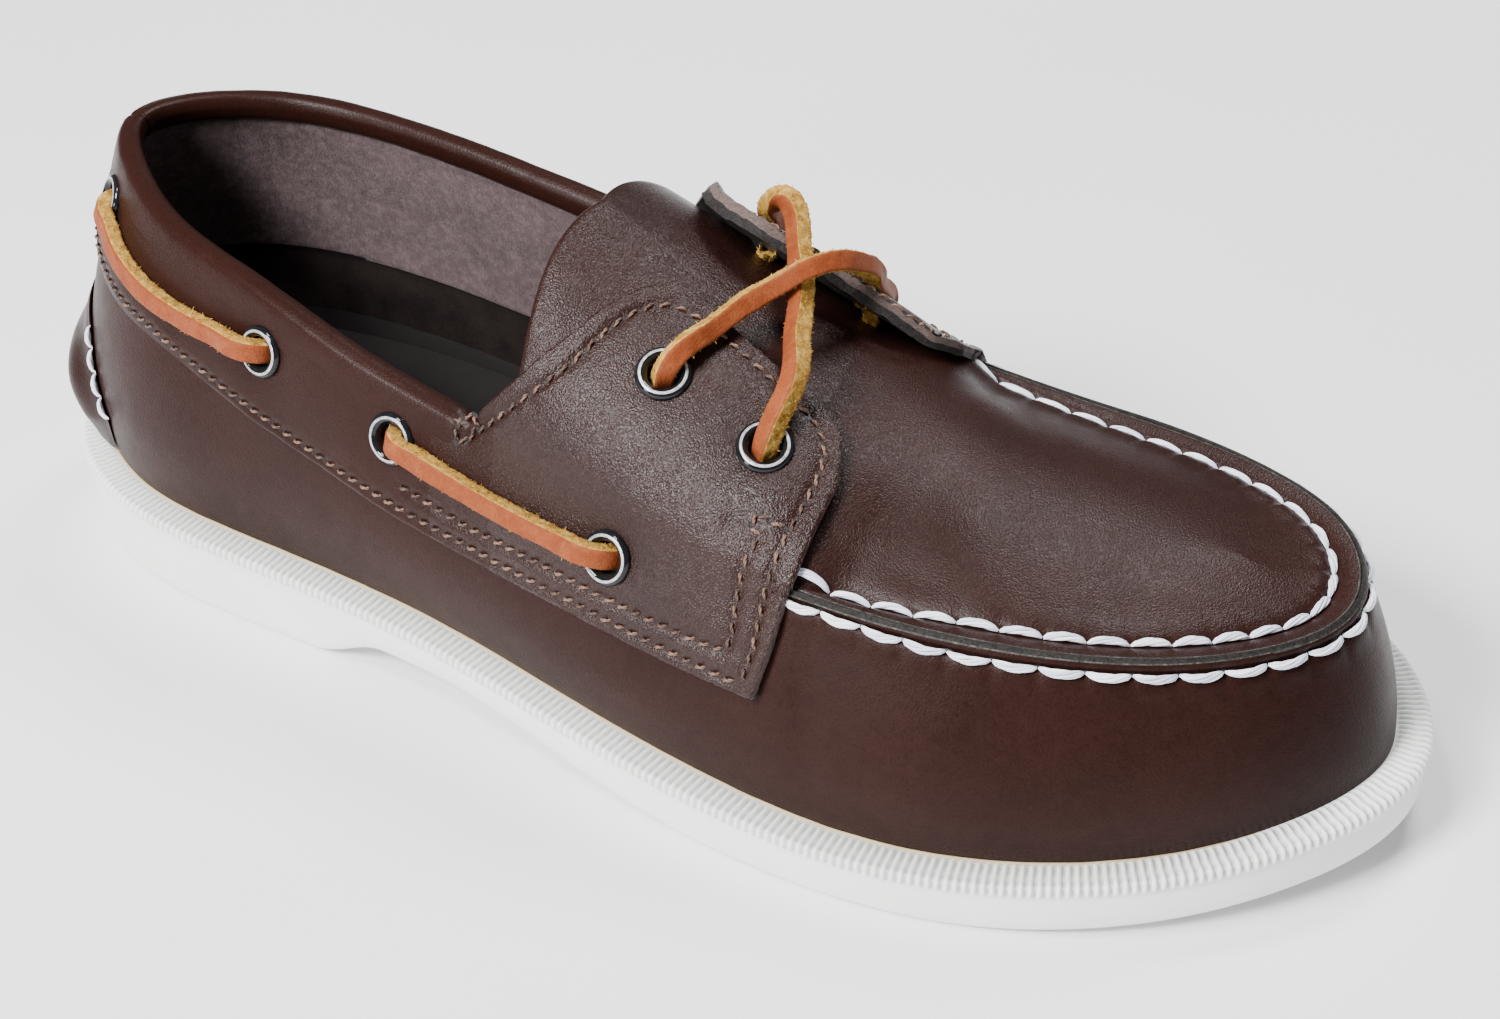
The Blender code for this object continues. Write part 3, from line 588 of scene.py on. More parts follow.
def leather_mat(name, grain=1.0, gloss=0.0, dark=1.0, shine=0.17, cell=0.46):
    """Smooth full-grain leather: fine pebble, small pores, cloudy finish.
    The attribute tint turns it redder; pebbled makes its grain stand out and shine."""
    m = Nodes(name)
    pb = m.attr("pebbled")
    cloud = m.noise(26.0, 3.0)
    fine = m.noise(2.2, 4.0)
    base = m.mix(m.ramp(cloud, [(0.35, 0.0), (0.65, 1.0)]), BROWN_DARK, BROWN_MID)
    base = m.mix(m.math('MULTIPLY', m.ramp(fine, [(0.35, 0.0), (0.75, 1.0)]), 0.35), base,
                 (0.030, 0.0120, 0.0095))
    base = m.mix(m.attr("tint"), base, BROWN_RED)
    warp = m.node("ShaderNodeVectorMath", {0: m.obj, 1: m.scale(m.noise(0.9, 2.0, out=1), 0.18)}, 0,
                  operation='ADD')
    peb = m.cells(cell, 'F1', vec=warp)
    peb2 = m.cells(cell * 0.58, 'F1', vec=warp)
    hair = m.noise(0.30, 2.0)
    h = m.math('ADD', m.math('MULTIPLY', m.ramp(peb, [(0.0, 1.0), (0.75, 0.0)]), 0.7),
               m.math('MULTIPLY', m.ramp(peb2, [(0.0, 1.0), (0.8, 0.0)]), 0.35))
    h = m.math('ADD', h, m.math('MULTIPLY', hair, 0.4))
    h = m.math('MULTIPLY', h, m.math('ADD', m.math('MULTIPLY', pb, 0.62), 0.38))
    big = m.noise(7.0, 3.0)
    nrm = m.bump(big, 0.30, 0.09)
    nrm = m.bump(h, 0.115 * grain, 1.0, nrm)
    # painted shade: the valleys between the pebbles are a little darker
    base = m.mix(m.math('MULTIPLY', m.ramp(peb, [(0.35, 0.0), (0.8, 1.0)]), 0.35), base,
                 (0.006, 0.0022, 0.0018))
    if dark != 1.0:
        base = m.mix(1.0, base, (dark, dark, dark), 'MULTIPLY')
    r = m.node("ShaderNodeMapRange", {0: m.noise(5.0, 4.0), 1: 0.3, 2: 0.7, 3: 0.29 - gloss, 4: 0.37 - gloss})
    r = m.math('ADD', r, m.math('MULTIPLY', m.noise(0.35, 1.0), 0.10))
    r = m.math('SUBTRACT', r, m.math('MULTIPLY', pb, 0.05))
    return m.done(base, r, nrm, **{"Specular_IOR_Level": shine})


def edge_mat():
    """Cut edge of the leather: paler, fibrous, matt."""
    m = Nodes("leather_edge")
    f = m.noise(0.5, 4.0, vec=m.scale(m.obj, (1.0, 1.0, 2.5)), rough=0.7)
    c = m.ramp(f, [(0.3, (0.050, 0.030, 0.026)), (0.5, (0.105, 0.072, 0.063)), (0.72, (0.17, 0.125, 0.112))])
    n = m.bump(f, 0.35, 1.0)
    return m.done(c, 0.62, n, **{"Specular_IOR_Level": 0.4})


def seam_edge_and_shade_mat():
    """Grey streaky cut edges that meet in the moccasin seam; their dark is partly the edges' own colour and partly
    painted shade of the seam's groove.
    """
    m = Nodes("leather_edge_grey_and_groove_shade")
    f = m.noise(0.9, 4.0, rough=0.75)
    c = m.ramp(f, [(0.34, (0.012, 0.012, 0.011)), (0.50, (0.034, 0.035, 0.031)), (0.70, (0.11, 0.112, 0.10))])
    return m.done(c, 0.5, m.bump(f, 0.25, 1.0), **{"Specular_IOR_Level": 0.2})


def dark_edge_and_groove_shade_mat():
    # near-black cut edge; where it lines the seam's groove it is partly painted shade
    m = Nodes("leather_edge_dark_and_groove_shade")
    f = m.noise(0.6, 4.0, rough=0.7)
    c = m.ramp(f, [(0.35, (0.008, 0.0065, 0.0062)), (0.65, (0.030, 0.026, 0.024))])
    return m.done(c, 0.55, m.bump(f, 0.3, 1.0), **{"Specular_IOR_Level": 0.12})


def back_mat():
    """Flesh side and dark lining under the flaps."""
    m = Nodes("leather_back")
    f = m.noise(0.8, 4.0, rough=0.6)
    c = m.ramp(f, [(0.3, (0.012, 0.011, 0.011)), (0.7, (0.030, 0.026, 0.026))])
    return m.done(c, 0.42, m.bump(f, 0.12, 0.8))


def suede_mat():
    """Brushed microsuede lining, mauve grey, with soft pile marks."""
    m = Nodes("suede_lining")
    cloud = m.noise(6.5, 5.0, rough=0.72)
    pile = m.noise(0.55, 4.0, rough=0.8)
    c = m.ramp(cloud, [(0.30, (0.046, 0.028, 0.028)), (0.50, (0.076, 0.048, 0.049)),
                       (0.72, (0.115, 0.076, 0.077))])
    c = m.mix(m.math('MULTIPLY', m.ramp(pile, [(0.36, 1.0), (0.62, 0.0)]), 0.55), c, (0.050, 0.033, 0.034))
    c = m.mix(m.math('MULTIPLY', m.ramp(m.noise(1.7, 4.0, rough=0.7), [(0.45, 0.0), (0.75, 1.0)]), 0.55), c, (0.19, 0.138, 0.137))
    n = m.bump(pile, 0.42, 1.0, m.bump(cloud, 0.9, 0.5))
    return m.done(c, 0.92, n, **{"Sheen_Weight": 0.25, "Sheen_Roughness": 0.5,
                                 "Sheen_Tint": (0.62, 0.52, 0.55, 1.0), "Specular_IOR_Level": 0.15})


def band_mat():
    """Darker strip along the foot of the lining."""
    m = Nodes("lining_band")
    f = m.noise(0.8, 4.0, rough=0.7)
    c = m.ramp(m.math('ADD', m.math('MULTIPLY', m.noise(7.0, 4.0), 0.6), m.math('MULTIPLY', f, 0.4)),
               [(0.35, (0.0065, 0.0045, 0.0042)), (0.65, (0.017, 0.0115, 0.0105))])
    return m.done(c, 0.85, m.bump(f, 0.18, 0.9), **{"Specular_IOR_Level": 0.10})


def insole_mat():
    m = Nodes("insole_slate")
    f = m.noise(0.7, 4.0)
    c = m.ramp(m.noise(14.0, 3.0), [(0.3, (0.014, 0.0115, 0.0115)), (0.7, (0.021, 0.0175, 0.0175))])
    c = m.mix(m.math('MULTIPLY', f, 0.3), c, (0.010, 0.008, 0.0085))
    return m.done(c, 0.72, m.bump(f, 0.12, 0.7), **{"Specular_IOR_Level": 0.2})


def rubber_mat():
    """Off-white sole rubber with a slight handling haze."""
    m = Nodes("sole_rubber")
    f = m.noise(0.35, 3.0)
    cloud = m.noise(18.0, 4.0)
    c = m.ramp(cloud, [(0.3, (0.86, 0.855, 0.835)), (0.7, (0.91, 0.908, 0.89))])
    # painted shade: the shade attribute darkens the rubber in the rib grooves, in the sipes and on the hidden top of
    # the sole
    c = m.mix(m.attr("shade"), c, (0.24, 0.255, 0.245))
    n = m.bump(f, 0.03, 0.6, m.bump(m.noise(4.0, 2.0), 0.10, 0.3))
    return m.done(c, m.node("ShaderNodeMapRange", {0: cloud, 1: 0.3, 2: 0.7, 3: 0.42, 4: 0.56}), n,
                  **{"Subsurface_Weight": 0.10, "Subsurface_Radius": (0.004, 0.0038, 0.0034),
                     "Subsurface_Scale": 0.5})


def thread_mat(name, dark, mid, light, rough=0.55, sheen=0.3):
    m = Nodes(name)
    s = m.attr("tone")
    f = m.noise(0.25, 3.0)
    c = m.ramp(m.math('ADD', m.math('MULTIPLY', s, 0.7), m.math('MULTIPLY', f, 0.3)),
               [(0.15, dark), (0.5, mid), (0.85, light)])
    return m.done(c, rough, m.bump(m.noise(0.12, 2.0), 0.05, 0.7),
                  **{"Sheen_Weight": sheen, "Sheen_Roughness": 0.4})


def hole_shade_mat():
    # near-black rings and discs, painted shade: round the stitch holes and in the eyelet bores
    m = Nodes("stitch_hole")
    f = m.noise(0.3, 2.0)
    return m.done(m.ramp(f, [(0.3, (0.004, 0.003, 0.003)), (0.7, (0.012, 0.007, 0.006))]), 0.8)


def enamel_mat():
    """Glossy black eyelet enamel."""
    m = Nodes("black_enamel")
    f = m.noise(1.4, 3.0)
    c = m.ramp(f, [(0.3, (0.004, 0.004, 0.005)), (0.7, (0.009, 0.009, 0.010))])
    return m.done(c, m.node("ShaderNodeMapRange", {0: f, 1: 0.3, 2: 0.7, 3: 0.07, 4: 0.12}),
                  m.bump(f, 0.02, 0.3), **{"Specular_IOR_Level": 0.30})


def crown_highlight_mat():
    """Pale grey ring on the eyelet's crown: a painted highlight."""
    m = Nodes("enamel_worn")
    f = m.noise(0.9, 3.0)
    c = m.ramp(f, [(0.35, (0.22, 0.22, 0.23)), (0.6, (0.50, 0.50, 0.52))])
    return m.done(c, 0.30, m.bump(f, 0.02, 0.4), **{"Metallic": 0.35})


def rawhide_mat():
    """Rawhide lace: attribute fuzz is 0 on the dyed grain face and 1 on the cut sides."""
    m = Nodes("rawhide")
    fz = m.attr("fuzz")
    tone = m.attr("tone")
    cloud = m.noise(2.6, 4.0, rough=0.6)
    grain = m.cells(0.42, 'F1')
    face = m.ramp(cloud, [(0.25, (0.165, 0.036, 0.011)), (0.5, (0.215, 0.054, 0.018)), (0.78, (0.265, 0.078, 0.028))])
    face = m.mix(m.math('MULTIPLY', m.ramp(grain, [(0.3, 0.0), (0.75, 1.0)]), 0.45), face, (0.15, 0.028, 0.007))
    crumb = m.noise(0.34, 4.0, rough=0.8)
    raw = m.ramp(m.math('ADD', m.math('MULTIPLY', crumb, 0.62), m.math('MULTIPLY', tone, 0.38)),
                 [(0.28, (0.11, 0.040, 0.006)), (0.42, (0.30, 0.145, 0.024)), (0.56, (0.46, 0.27, 0.060)),
                  (0.76, (0.66, 0.46, 0.150))])
    c = m.mix(m.ramp(fz, [(0.38, 0.0), (0.62, 1.0)]), face, raw)
    h = m.mix(fz, m.math('MULTIPLY', grain, 0.30), m.math('MULTIPLY', crumb, 1.0))
    rgh = m.node("ShaderNodeMapRange", {0: fz, 1: 0.3, 2: 0.7, 3: 0.50, 4: 0.88})
    return m.done(c, rgh, m.bump(h, 0.20, 1.0),
                  **{"Specular_IOR_Level": 0.10})


def floor_mat():
    m = Nodes("studio_floor")
    c = m.ramp(m.noise(120.0, 2.0), [(0.3, (0.80, 0.80, 0.803)), (0.7, (0.82, 0.82, 0.822))])
    return m.done(c, 0.55, m.bump(m.noise(0.8, 2.0), 0.01, 0.2), **{"Specular_IOR_Level": 0.25,
                  "Emission_Color": (1.0, 1.0, 1.0, 1.0), "Emission_Strength": 0.10})


# One leather in copies that differ in shine, gloss and grain size: the shine is raised on the front of the overlay
# and on the tongue, where the highlights fall, and lowered on the walls, a painted highlight strength.
LEATHER = leather_mat("brown_leather", 1.0, 0.05, 1.0, 0.12, 0.40)
LEATHER_WALL = leather_mat("brown_leather_wall", 1.15, 0.03, 1.0, 0.075, 0.42)
LEATHER_STAY = leather_mat("brown_leather_overlay", 1.0, 0.04, 1.0, 0.10, 0.42)
LEATHER_MID = leather_mat("brown_leather_overlay_mid", 1.0, 0.05, 1.0, 0.16, 0.42)
LEATHER_UP = leather_mat("brown_leather_overlay_front", 1.0, 0.06, 1.0, 0.23, 0.42)
LEATHER_TONGUE = leather_mat("brown_leather_tongue", 1.0, 0.06, 1.0, 0.20, 0.42)
LEATHER_ROLL = leather_mat("brown_leather_smooth", 0.9, 0.04, 0.9, 0.11)
EDGE, DARK_EDGE_AND_GROOVE_SHADE, BACK, SUEDE = edge_mat(), dark_edge_and_groove_shade_mat(), back_mat(), suede_mat()
BAND = band_mat()
INSOLE, RUBBER, ENAMEL, RAWHIDE = insole_mat(), rubber_mat(), enamel_mat(), rawhide_mat()
WHITE = thread_mat("white_waxed_thread", (0.42, 0.44, 0.56), (0.74, 0.76, 0.86), (0.90, 0.91, 0.95), 0.5, 0.2)
TAN = thread_mat("brown_thread", (0.018, 0.007, 0.0045), (0.055, 0.023, 0.014), (0.17, 0.092, 0.060), 0.40, 0.08)
HOLE_SHADE, CROWN_HIGHLIGHT, SEAM_EDGE_AND_SHADE = hole_shade_mat(), crown_highlight_mat(), seam_edge_and_shade_mat()


# =============================================================== the pieces
def relax(V, F, mask, rounds):
    """Smooth the masked points of a mesh; points in one place move together."""
    _, first, inv = np.unique(np.round(V, 3), axis=0, return_index=True, return_inverse=True)
    inv = np.ravel(inv)
    e = np.concatenate([F[:, [0, 1]], F[:, [1, 2]], F[:, [2, 3]], F[:, [3, 0]]])
    e = inv[e]
    e = e[e[:, 0] != e[:, 1]]
    e = np.unique(np.sort(e, 1), axis=0)
    P, m = V[first].copy(), mask[first][:, None]
    cnt = np.bincount(e.ravel(), minlength=len(P))[:, None]
    for _ in range(rounds):
        tot = np.stack([np.bincount(e[:, 0], P[e[:, 1], i], len(P)) + np.bincount(e[:, 1], P[e[:, 0], i], len(P))
                        for i in range(3)], 1)
        P += 0.6 * m * (tot / np.maximum(cnt, 1) - P)
    return P[inv]


CENTRE = np.array([150.0, -4.0, 38.0])
K_THROAT = 6.93
_ls = np.linspace(K_THROAT - 0.1, 2 * N - K_THROAT + 0.1, 3000)
_lp = wall_top(_ls)
_ld = np.r_[0, np.cumsum(np.linalg.norm(np.diff(_lp, axis=0), axis=1))]
N_ST = int(round((np.interp(2 * N - K_THROAT, _ls, _ld) - np.interp(K_THROAT, _ls, _ld)) / STITCH))
_l0 = np.interp(K_THROAT, _ls, _ld)
_step = (np.interp(2 * N - K_THROAT, _ls, _ld) - _l0) / N_ST


def pinch(s, width=1.1):
    """1 where the moccasin thread goes through the leather, 0 between."""
    ph = (np.interp(s, _ls, _ld) - _l0) / _step
    d = np.abs(ph - np.round(ph)) * _step
    inside = (np.asarray(s) > K_THROAT - .05) & (np.asarray(s) < 2 * N - K_THROAT + .05)
    return np.exp(-(d / width) ** 2) * inside


def upper_row(s):
    """Distance of the upper white row from the seam, mm: closer together at the throat."""
    return 1.9 + 1.3 * ramp(station(s), 6.92, 7.12) + 1.8 * ramp(station(s), 7.0, 8.1)


def lower_row(s):
    return 1.9 + 0.8 * ramp(station(s), 6.95, 8.1)


def wall_height(s):
    return np.linalg.norm(skin(s, 1.0) - skin(s, 0.9), axis=1) / 0.1


# Eyelet centres on the plain surface, for dimples and holes
def eyelet_place(side, i):
    row = EYELETS[i]
    k, w = (row[0], row[1]) if side < 0 else (row[2], row[3])
    return k, w


def eyelet_base(side, i):
    k, w = eyelet_place(side, i)
    return stay_skin(side, k, w)[0]


# ---------------------------------------------------------------- wall of the upper
def wall_piece():
    ns = 820
    s = np.linspace(0, 2 * N, ns, endpoint=False)
    w = np.r_[np.linspace(0, 0.83, 26), np.linspace(0.845, 0.985, 24), [0.992, 1.0]]
    S, W = np.meshgrid(s, w)
    P = skin(S.ravel(), W.ravel()).reshape(*S.shape, 3)
    Nn = skin_normal(S.ravel(), W.ravel()).reshape(P.shape)
    k = station(S.ravel()).reshape(S.shape)
    d = (1 - W) * wall_height(s)[None, :]
    F = ramp(k, 6.84, 6.98)
    pin = pinch(S)
    lr = lower_row(S.ravel()).reshape(S.shape)
    disp = F * (0.12 * (1 - np.clip(d / 0.6, 0, 1)) + 0.42 * np.sin(pi * np.clip((d - 0.1) / (lr - 0.4), 0, 1))
                - 0.55 * bell(d, lr, 0.55) + 0.30 * bell(d, lr + 2.4, 1.9) * (1 - pin)
                - 0.40 * pin * bell(d, lr - 0.1, 1.0))
    Pf = P.reshape(-1, 3)
    disp = disp + 0.32 * (fbm(Pf, 26, 3, 2) * 1.0).reshape(S.shape) * ramp(W, 0.02, 0.25)
    # a soft dent of the vamp in front of the overlay
    disp = disp - 0.5 * bell(k, 7.12, 0.10) * bell(W, 0.60, 0.28)
    for side in (-1, 1):
        for i in range(4):
            kk, ww = eyelet_place(side, i)
            c = skin(kk if side < 0 else 2 * N - kk, ww)[0]
            de = np.linalg.norm(P - c, axis=2)
            disp = disp - 1.6 * (1 - ramp(de, 2.6, 3.6))
    Q = P + Nn * disp[..., None]
    # the lip curls over into the seam's groove
    top, nt = Q[-1], Nn[-1]
    up = np.tile([0.0, 0, 1], (ns, 1))
    f = F[-1][:, None]
    rows = []
    for a, b in ((-0.04, 0.14), (-0.16, 0.20), (-0.34, 0.12), (-0.46, -0.12), (-0.52, -0.6), (-0.56, -1.5)):
        rows.append(top + (nt * a + up * b) * f + nt * (1 - f) * a)
    Q = np.concatenate([Q, np.array(rows)])
    nr = Q.shape[0]
    V = Q.reshape(-1, 3)
    Fq = quads(nr, ns, True)
    mi = np.zeros((nr - 1, ns), int)
    # the lip and the rows that curl down into the seam's groove take the dark and grey edge colours: partly the raw
    # edges, partly painted shade of the groove
    dm = 0.5 * (d[:-1] + d[1:])
    fm = F[0] > 0.4
    mi[:len(dm)] = np.where(fm & (dm < 0.62), 2, np.where(fm & (dm < 0.86), 1, 0))
    mi[len(dm):] = np.where(fm, 2, 0)
    mi = mi.ravel()
    Fq = facing(V, Fq, CENTRE)
    tint = np.tile(0.10 * (1 - ramp(station(s), 2.0, 4.0)), nr)
    return piece("vamp_and_quarters", V, Fq, [LEATHER_WALL, SEAM_EDGE_AND_SHADE, DARK_EDGE_AND_GROOVE_SHADE], mi, attrs={"tint": tint})


# ---------------------------------------------------------------- plug and tongue
def rear_edge(w):
    return 5.30 - 0.21 * ramp(w, 1.25, 1.95)


# Soft folds put in one by one: points (s, w), depth, width in mm; a ridge has negative depth
FOLDS = [
    ([(7.75, 1.10), (7.55, 1.40), (7.45, 1.75), (7.55, 1.98)], 0.55, 6.5),
    ([(8.25, 1.20), (8.0, 1.50), (7.9, 1.85)], -0.35, 7.0),
    ([(7.05, 1.45), (6.85, 1.75), (6.75, 1.98)], 0.55, 5.0),
    ([(5.60, 1.55), (5.75, 1.80), (5.95, 1.97)], 0.55, 6.0),
    ([(5.36, 1.45), (5.30, 1.70), (5.25, 1.95)], -0.45, 4.0),
    ([(15.1, 1.35), (14.6, 1.55), (14.2, 1.80)], 0.45, 5.0),
    ([(9.2, 1.30), (9.0, 1.65), (9.3, 1.95)], 0.30, 8.0),
]


def fold_field(P):
    out = np.zeros(len(P))
    for pts, depth, width in FOLDS:
        line = spline(skin(*np.array(pts).T), 60)
        dist = near(P, line)
        out -= depth * np.exp(-(dist / width) ** 2)
    return out


def plug_tongue():
    w = np.r_[1.0, 1.004, np.linspace(1.008, 1.032, 8), np.linspace(1.038, 1.20, 20), np.linspace(1.212, 1.36, 12),
              np.linspace(1.38, 2.0, 40)]
    nc = 370
    u = np.linspace(0, 1, nc)
    S = np.array([rear_edge(x) + (2 * N - 2 * rear_edge(x)) * u for x in w])
    W = np.repeat(w[:, None], nc, 1)
    k = station(S.ravel()).reshape(S.shape)
    off = (-0.6 * (1 - ramp(k, 6.72, 6.98))
           - 1.9 * (1 - ramp(W, 1.08, 1.3)) * (1 - ramp(k, 6.85, 6.98)))
    P = skin(S.ravel(), W.ravel()).reshape(*S.shape, 3)
    Nn = skin_normal(S.ravel(), W.ravel()).reshape(P.shape)
    # one normal along the crest, where both sides meet
    a = unit(Nn[-1] + Nn[-1][::-1])
    for j, t in enumerate((1.0, 0.75, 0.5, 0.25)):
        Nn[-1 - j] = unit(Nn[-1 - j] * (1 - t) + a * t)
    uu = wall_top(S.ravel())
    g = np.c_[crest_x(k.ravel()), crest_y(k.ravel()), crest_z(k.ravel())]
    span = np.hypot(*(g - uu)[:, :2].T).reshape(S.shape)
    d = (1 - np.cos((W - 1) * pi / 2)) * span
    F = ramp(k, 6.88, 7.02)
    pin = pinch(S)
    med = (S > N) * 1.0
    ur = upper_row(S.ravel()).reshape(S.shape)
    da = np.concatenate([np.zeros((1, nc)), np.cumsum(np.linalg.norm(np.diff(P, axis=0), axis=2), axis=0)])
    disp = F * (-1.7 * (1 - ramp(da, 0.16, 0.56))
                + 0.42 * np.sin(pi * np.clip((da - 0.3) / (ur - 0.5), 0, 1))
                - 0.50 * bell(da, ur + 0.1, 0.6) - 0.32 * pin * bell(da, ur + 0.3, 1.0)
                + (0.22 + 0.38 * med) * (1 - 0.6 * pin) * bell(da, ur + 2.9, 2.4))
    Pf = P.reshape(-1, 3)
    disp = disp + (0.30 * fbm(Pf, 24, 11, 2) * ramp(d.ravel(), 4, 12) + fold_field(Pf)
                   * ramp(d.ravel(), 4, 11)).reshape(S.shape)
    Q = P + Nn * (off + disp)[..., None]
    # the crest rows of both sides are one line, and its ridge is worked out by smoothing
    Q[-1] = 0.5 * (Q[-1] + Q[-1][::-1])
    crest = np.c_[crest_x(k.ravel()), crest_y(k.ravel())].reshape(*k.shape, 2)
    far = np.linalg.norm(P[..., :2] - crest, axis=2)
    mask = np.maximum(1 - ramp(far, 7, 17), ramp(k, 9.6, 10.4)) * ramp(k, 5.45, 5.9) * ramp(da, 8.0, 11.0)
    Q = relax(Q.reshape(-1, 3), quads(*k.shape), mask.ravel(), 180).reshape(Q.shape)
    G = grid_normals(Q)
    G = G * np.sign((G * Nn).sum(-1))[..., None]
    G[-1] = unit(G[-1] + G[-1][::-1])
    Nn = unit(Nn * (1 - mask[..., None]) + G * mask[..., None])
    V, Fq, flag = slab(Q, Nn, np.zeros(S.shape), np.full(S.shape, -TONGUE_T), 3, 0.35)
    Fq = facing(V, Fq, CENTRE)
    tint = np.zeros(len(V))
    mi = np.where(flag == 2, 1, 0)
    # the strip at the lip, down in the seam's groove, takes the dark and grey edge colours: partly raw edge, partly
    # painted shade of the groove; the tongue and middle copies of the leather carry more shine, a painted highlight
    # strength
    dm, fm = 0.5 * (da[:-1, :-1] + da[1:, 1:]), F[:-1, :-1] > 0.4
    mi[:dm.size] = np.select([fm & (dm < 0.62), fm & (dm < 0.84), k[:-1, :-1] < 6.1, k[:-1, :-1] < 6.7],
                                [2, 3, 4, 5], 0).ravel()
    peb = np.zeros(len(V))
    peb[:2 * k.size] = np.tile((1 - 0.72 * ramp(k, 6.2, 7.6)).ravel(), 2)
    ob = piece("plug_and_tongue", V, Fq, [LEATHER, BACK, DARK_EDGE_AND_GROOVE_SHADE, SEAM_EDGE_AND_SHADE, LEATHER_TONGUE, LEATHER_MID], mi,
               attrs={"tint": tint, "pebbled": peb})
    m = ob.modifiers.new("Weld", 'WELD')
    m.merge_threshold = 2e-5
    return ob


# ---------------------------------------------------------------- overlay panels
def low_edge(k):
    return natural(*zip(*PANEL_LOW))(k)


def row_line(side, table, step=0.5):
    q = soft_chain(table, np.linspace(0, 1, 500), 1)
    return resample(stay_skin(side, q[:, 0], q[:, 1]), step)


LINES = {}
for sd in (-1, 1):
    top = soft_chain(TOP_LATERAL if sd < 0 else TOP_MEDIAL, np.linspace(0, 1, 500), 1)
    front = chain(STAY_FRONT, np.linspace(0, 1, 200))
    lowk = np.linspace(0, 6.86, 500)
    LINES[sd] = {
        "top": resample(stay_skin(sd, top[:, 0], top[:, 1]), 0.5),
        "front": resample(stay_skin(sd, front[:, 0], front[:, 1]), 0.5),
        "low": resample(stay_skin(sd, lowk, low_edge(lowk)), 0.5),
        "outer": row_line(sd, ROW_OUTER), "inner": row_line(sd, ROW_INNER),
        "lower": row_line(sd, ROW_LOWER),
        "eyes": np.array([eyelet_base(sd, i) for i in range(6)]),
        "dent": stay_skin(sd, 6.62, 1.27)[0], "knob": stay_skin(sd, 6.70, 1.47)[0]}


def panel_off(side, P, K, W, eyes=True):
    """Height of the overlay's outer surface over its underside."""
    L = LINES[side]
    d_top = np.minimum(near(P, L["top"]), near(P, L["front"]))
    d_low = near(P, L["low"])
    T = 1.15 + 0.95 * ramp(K, 2.6, 4.9)
    skive = 1 - ramp(K, 2.2, 3.3)
    e = T - 0.30 * (1 - np.clip(d_top / 0.6, 0, 1)) ** 2
    e = e - (T - 0.55) * skive * (1 - ramp(d_low, -0.2, 2.2)) - 0.30 * (1 - skive) * (1 - np.clip(d_low / 0.6, 0, 1)) ** 2
    row = np.minimum(np.minimum(near(P, L["outer"]), near(P, L["inner"])), near(P, L["lower"]))
    e = e - (0.28 + 0.22 * ramp(K, 3.5, 5.0)) * np.exp(-(row / 0.95) ** 2)
    # the stitched border is drawn down, the field between the rows stays full
    e = e + 0.22 * ramp(row, 1.0, 5.0) * ramp(K, 4.5, 5.4)
    pucker = noise(P, 2.1, 5) * 0.16 + noise(P, 1.2, 6) * 0.10
    e = e + pucker * np.exp(-((row - 1.5) / 1.6) ** 2) * (0.35 + 0.65 * ramp(K, 3.2, 4.4))
    e = e + 0.28 * fbm(P, 17, 8, 2) * ramp(d_top, 0, 5)
    for i, c in enumerate(L["eyes"]):
        de = np.linalg.norm(P - c, axis=1)
        e = e - 0.55 * np.exp(-(de / 6.3) ** 2)
        if eyes:
            e = e - 2.6 * (1 - ramp(de, 2.8, 3.6))
    e = e - 0.85 * np.exp(-(np.linalg.norm(P - L["dent"], axis=1) / 2.6) ** 2)
    e = e + 0.55 * np.exp(-(np.linalg.norm(P - L["knob"], axis=1) / 4.2) ** 2)
    return e


def panel_point(side, k, w, extra=0.0):
    """Points on the overlay's finished surface, and normals there."""
    k, w = np.atleast_1d(k), np.atleast_1d(w)
    P = stay_skin(side, k, w)
    n = stay_normal(side, k, w)
    return P + n * (panel_off(side, P, k, w) + extra)[:, None], n


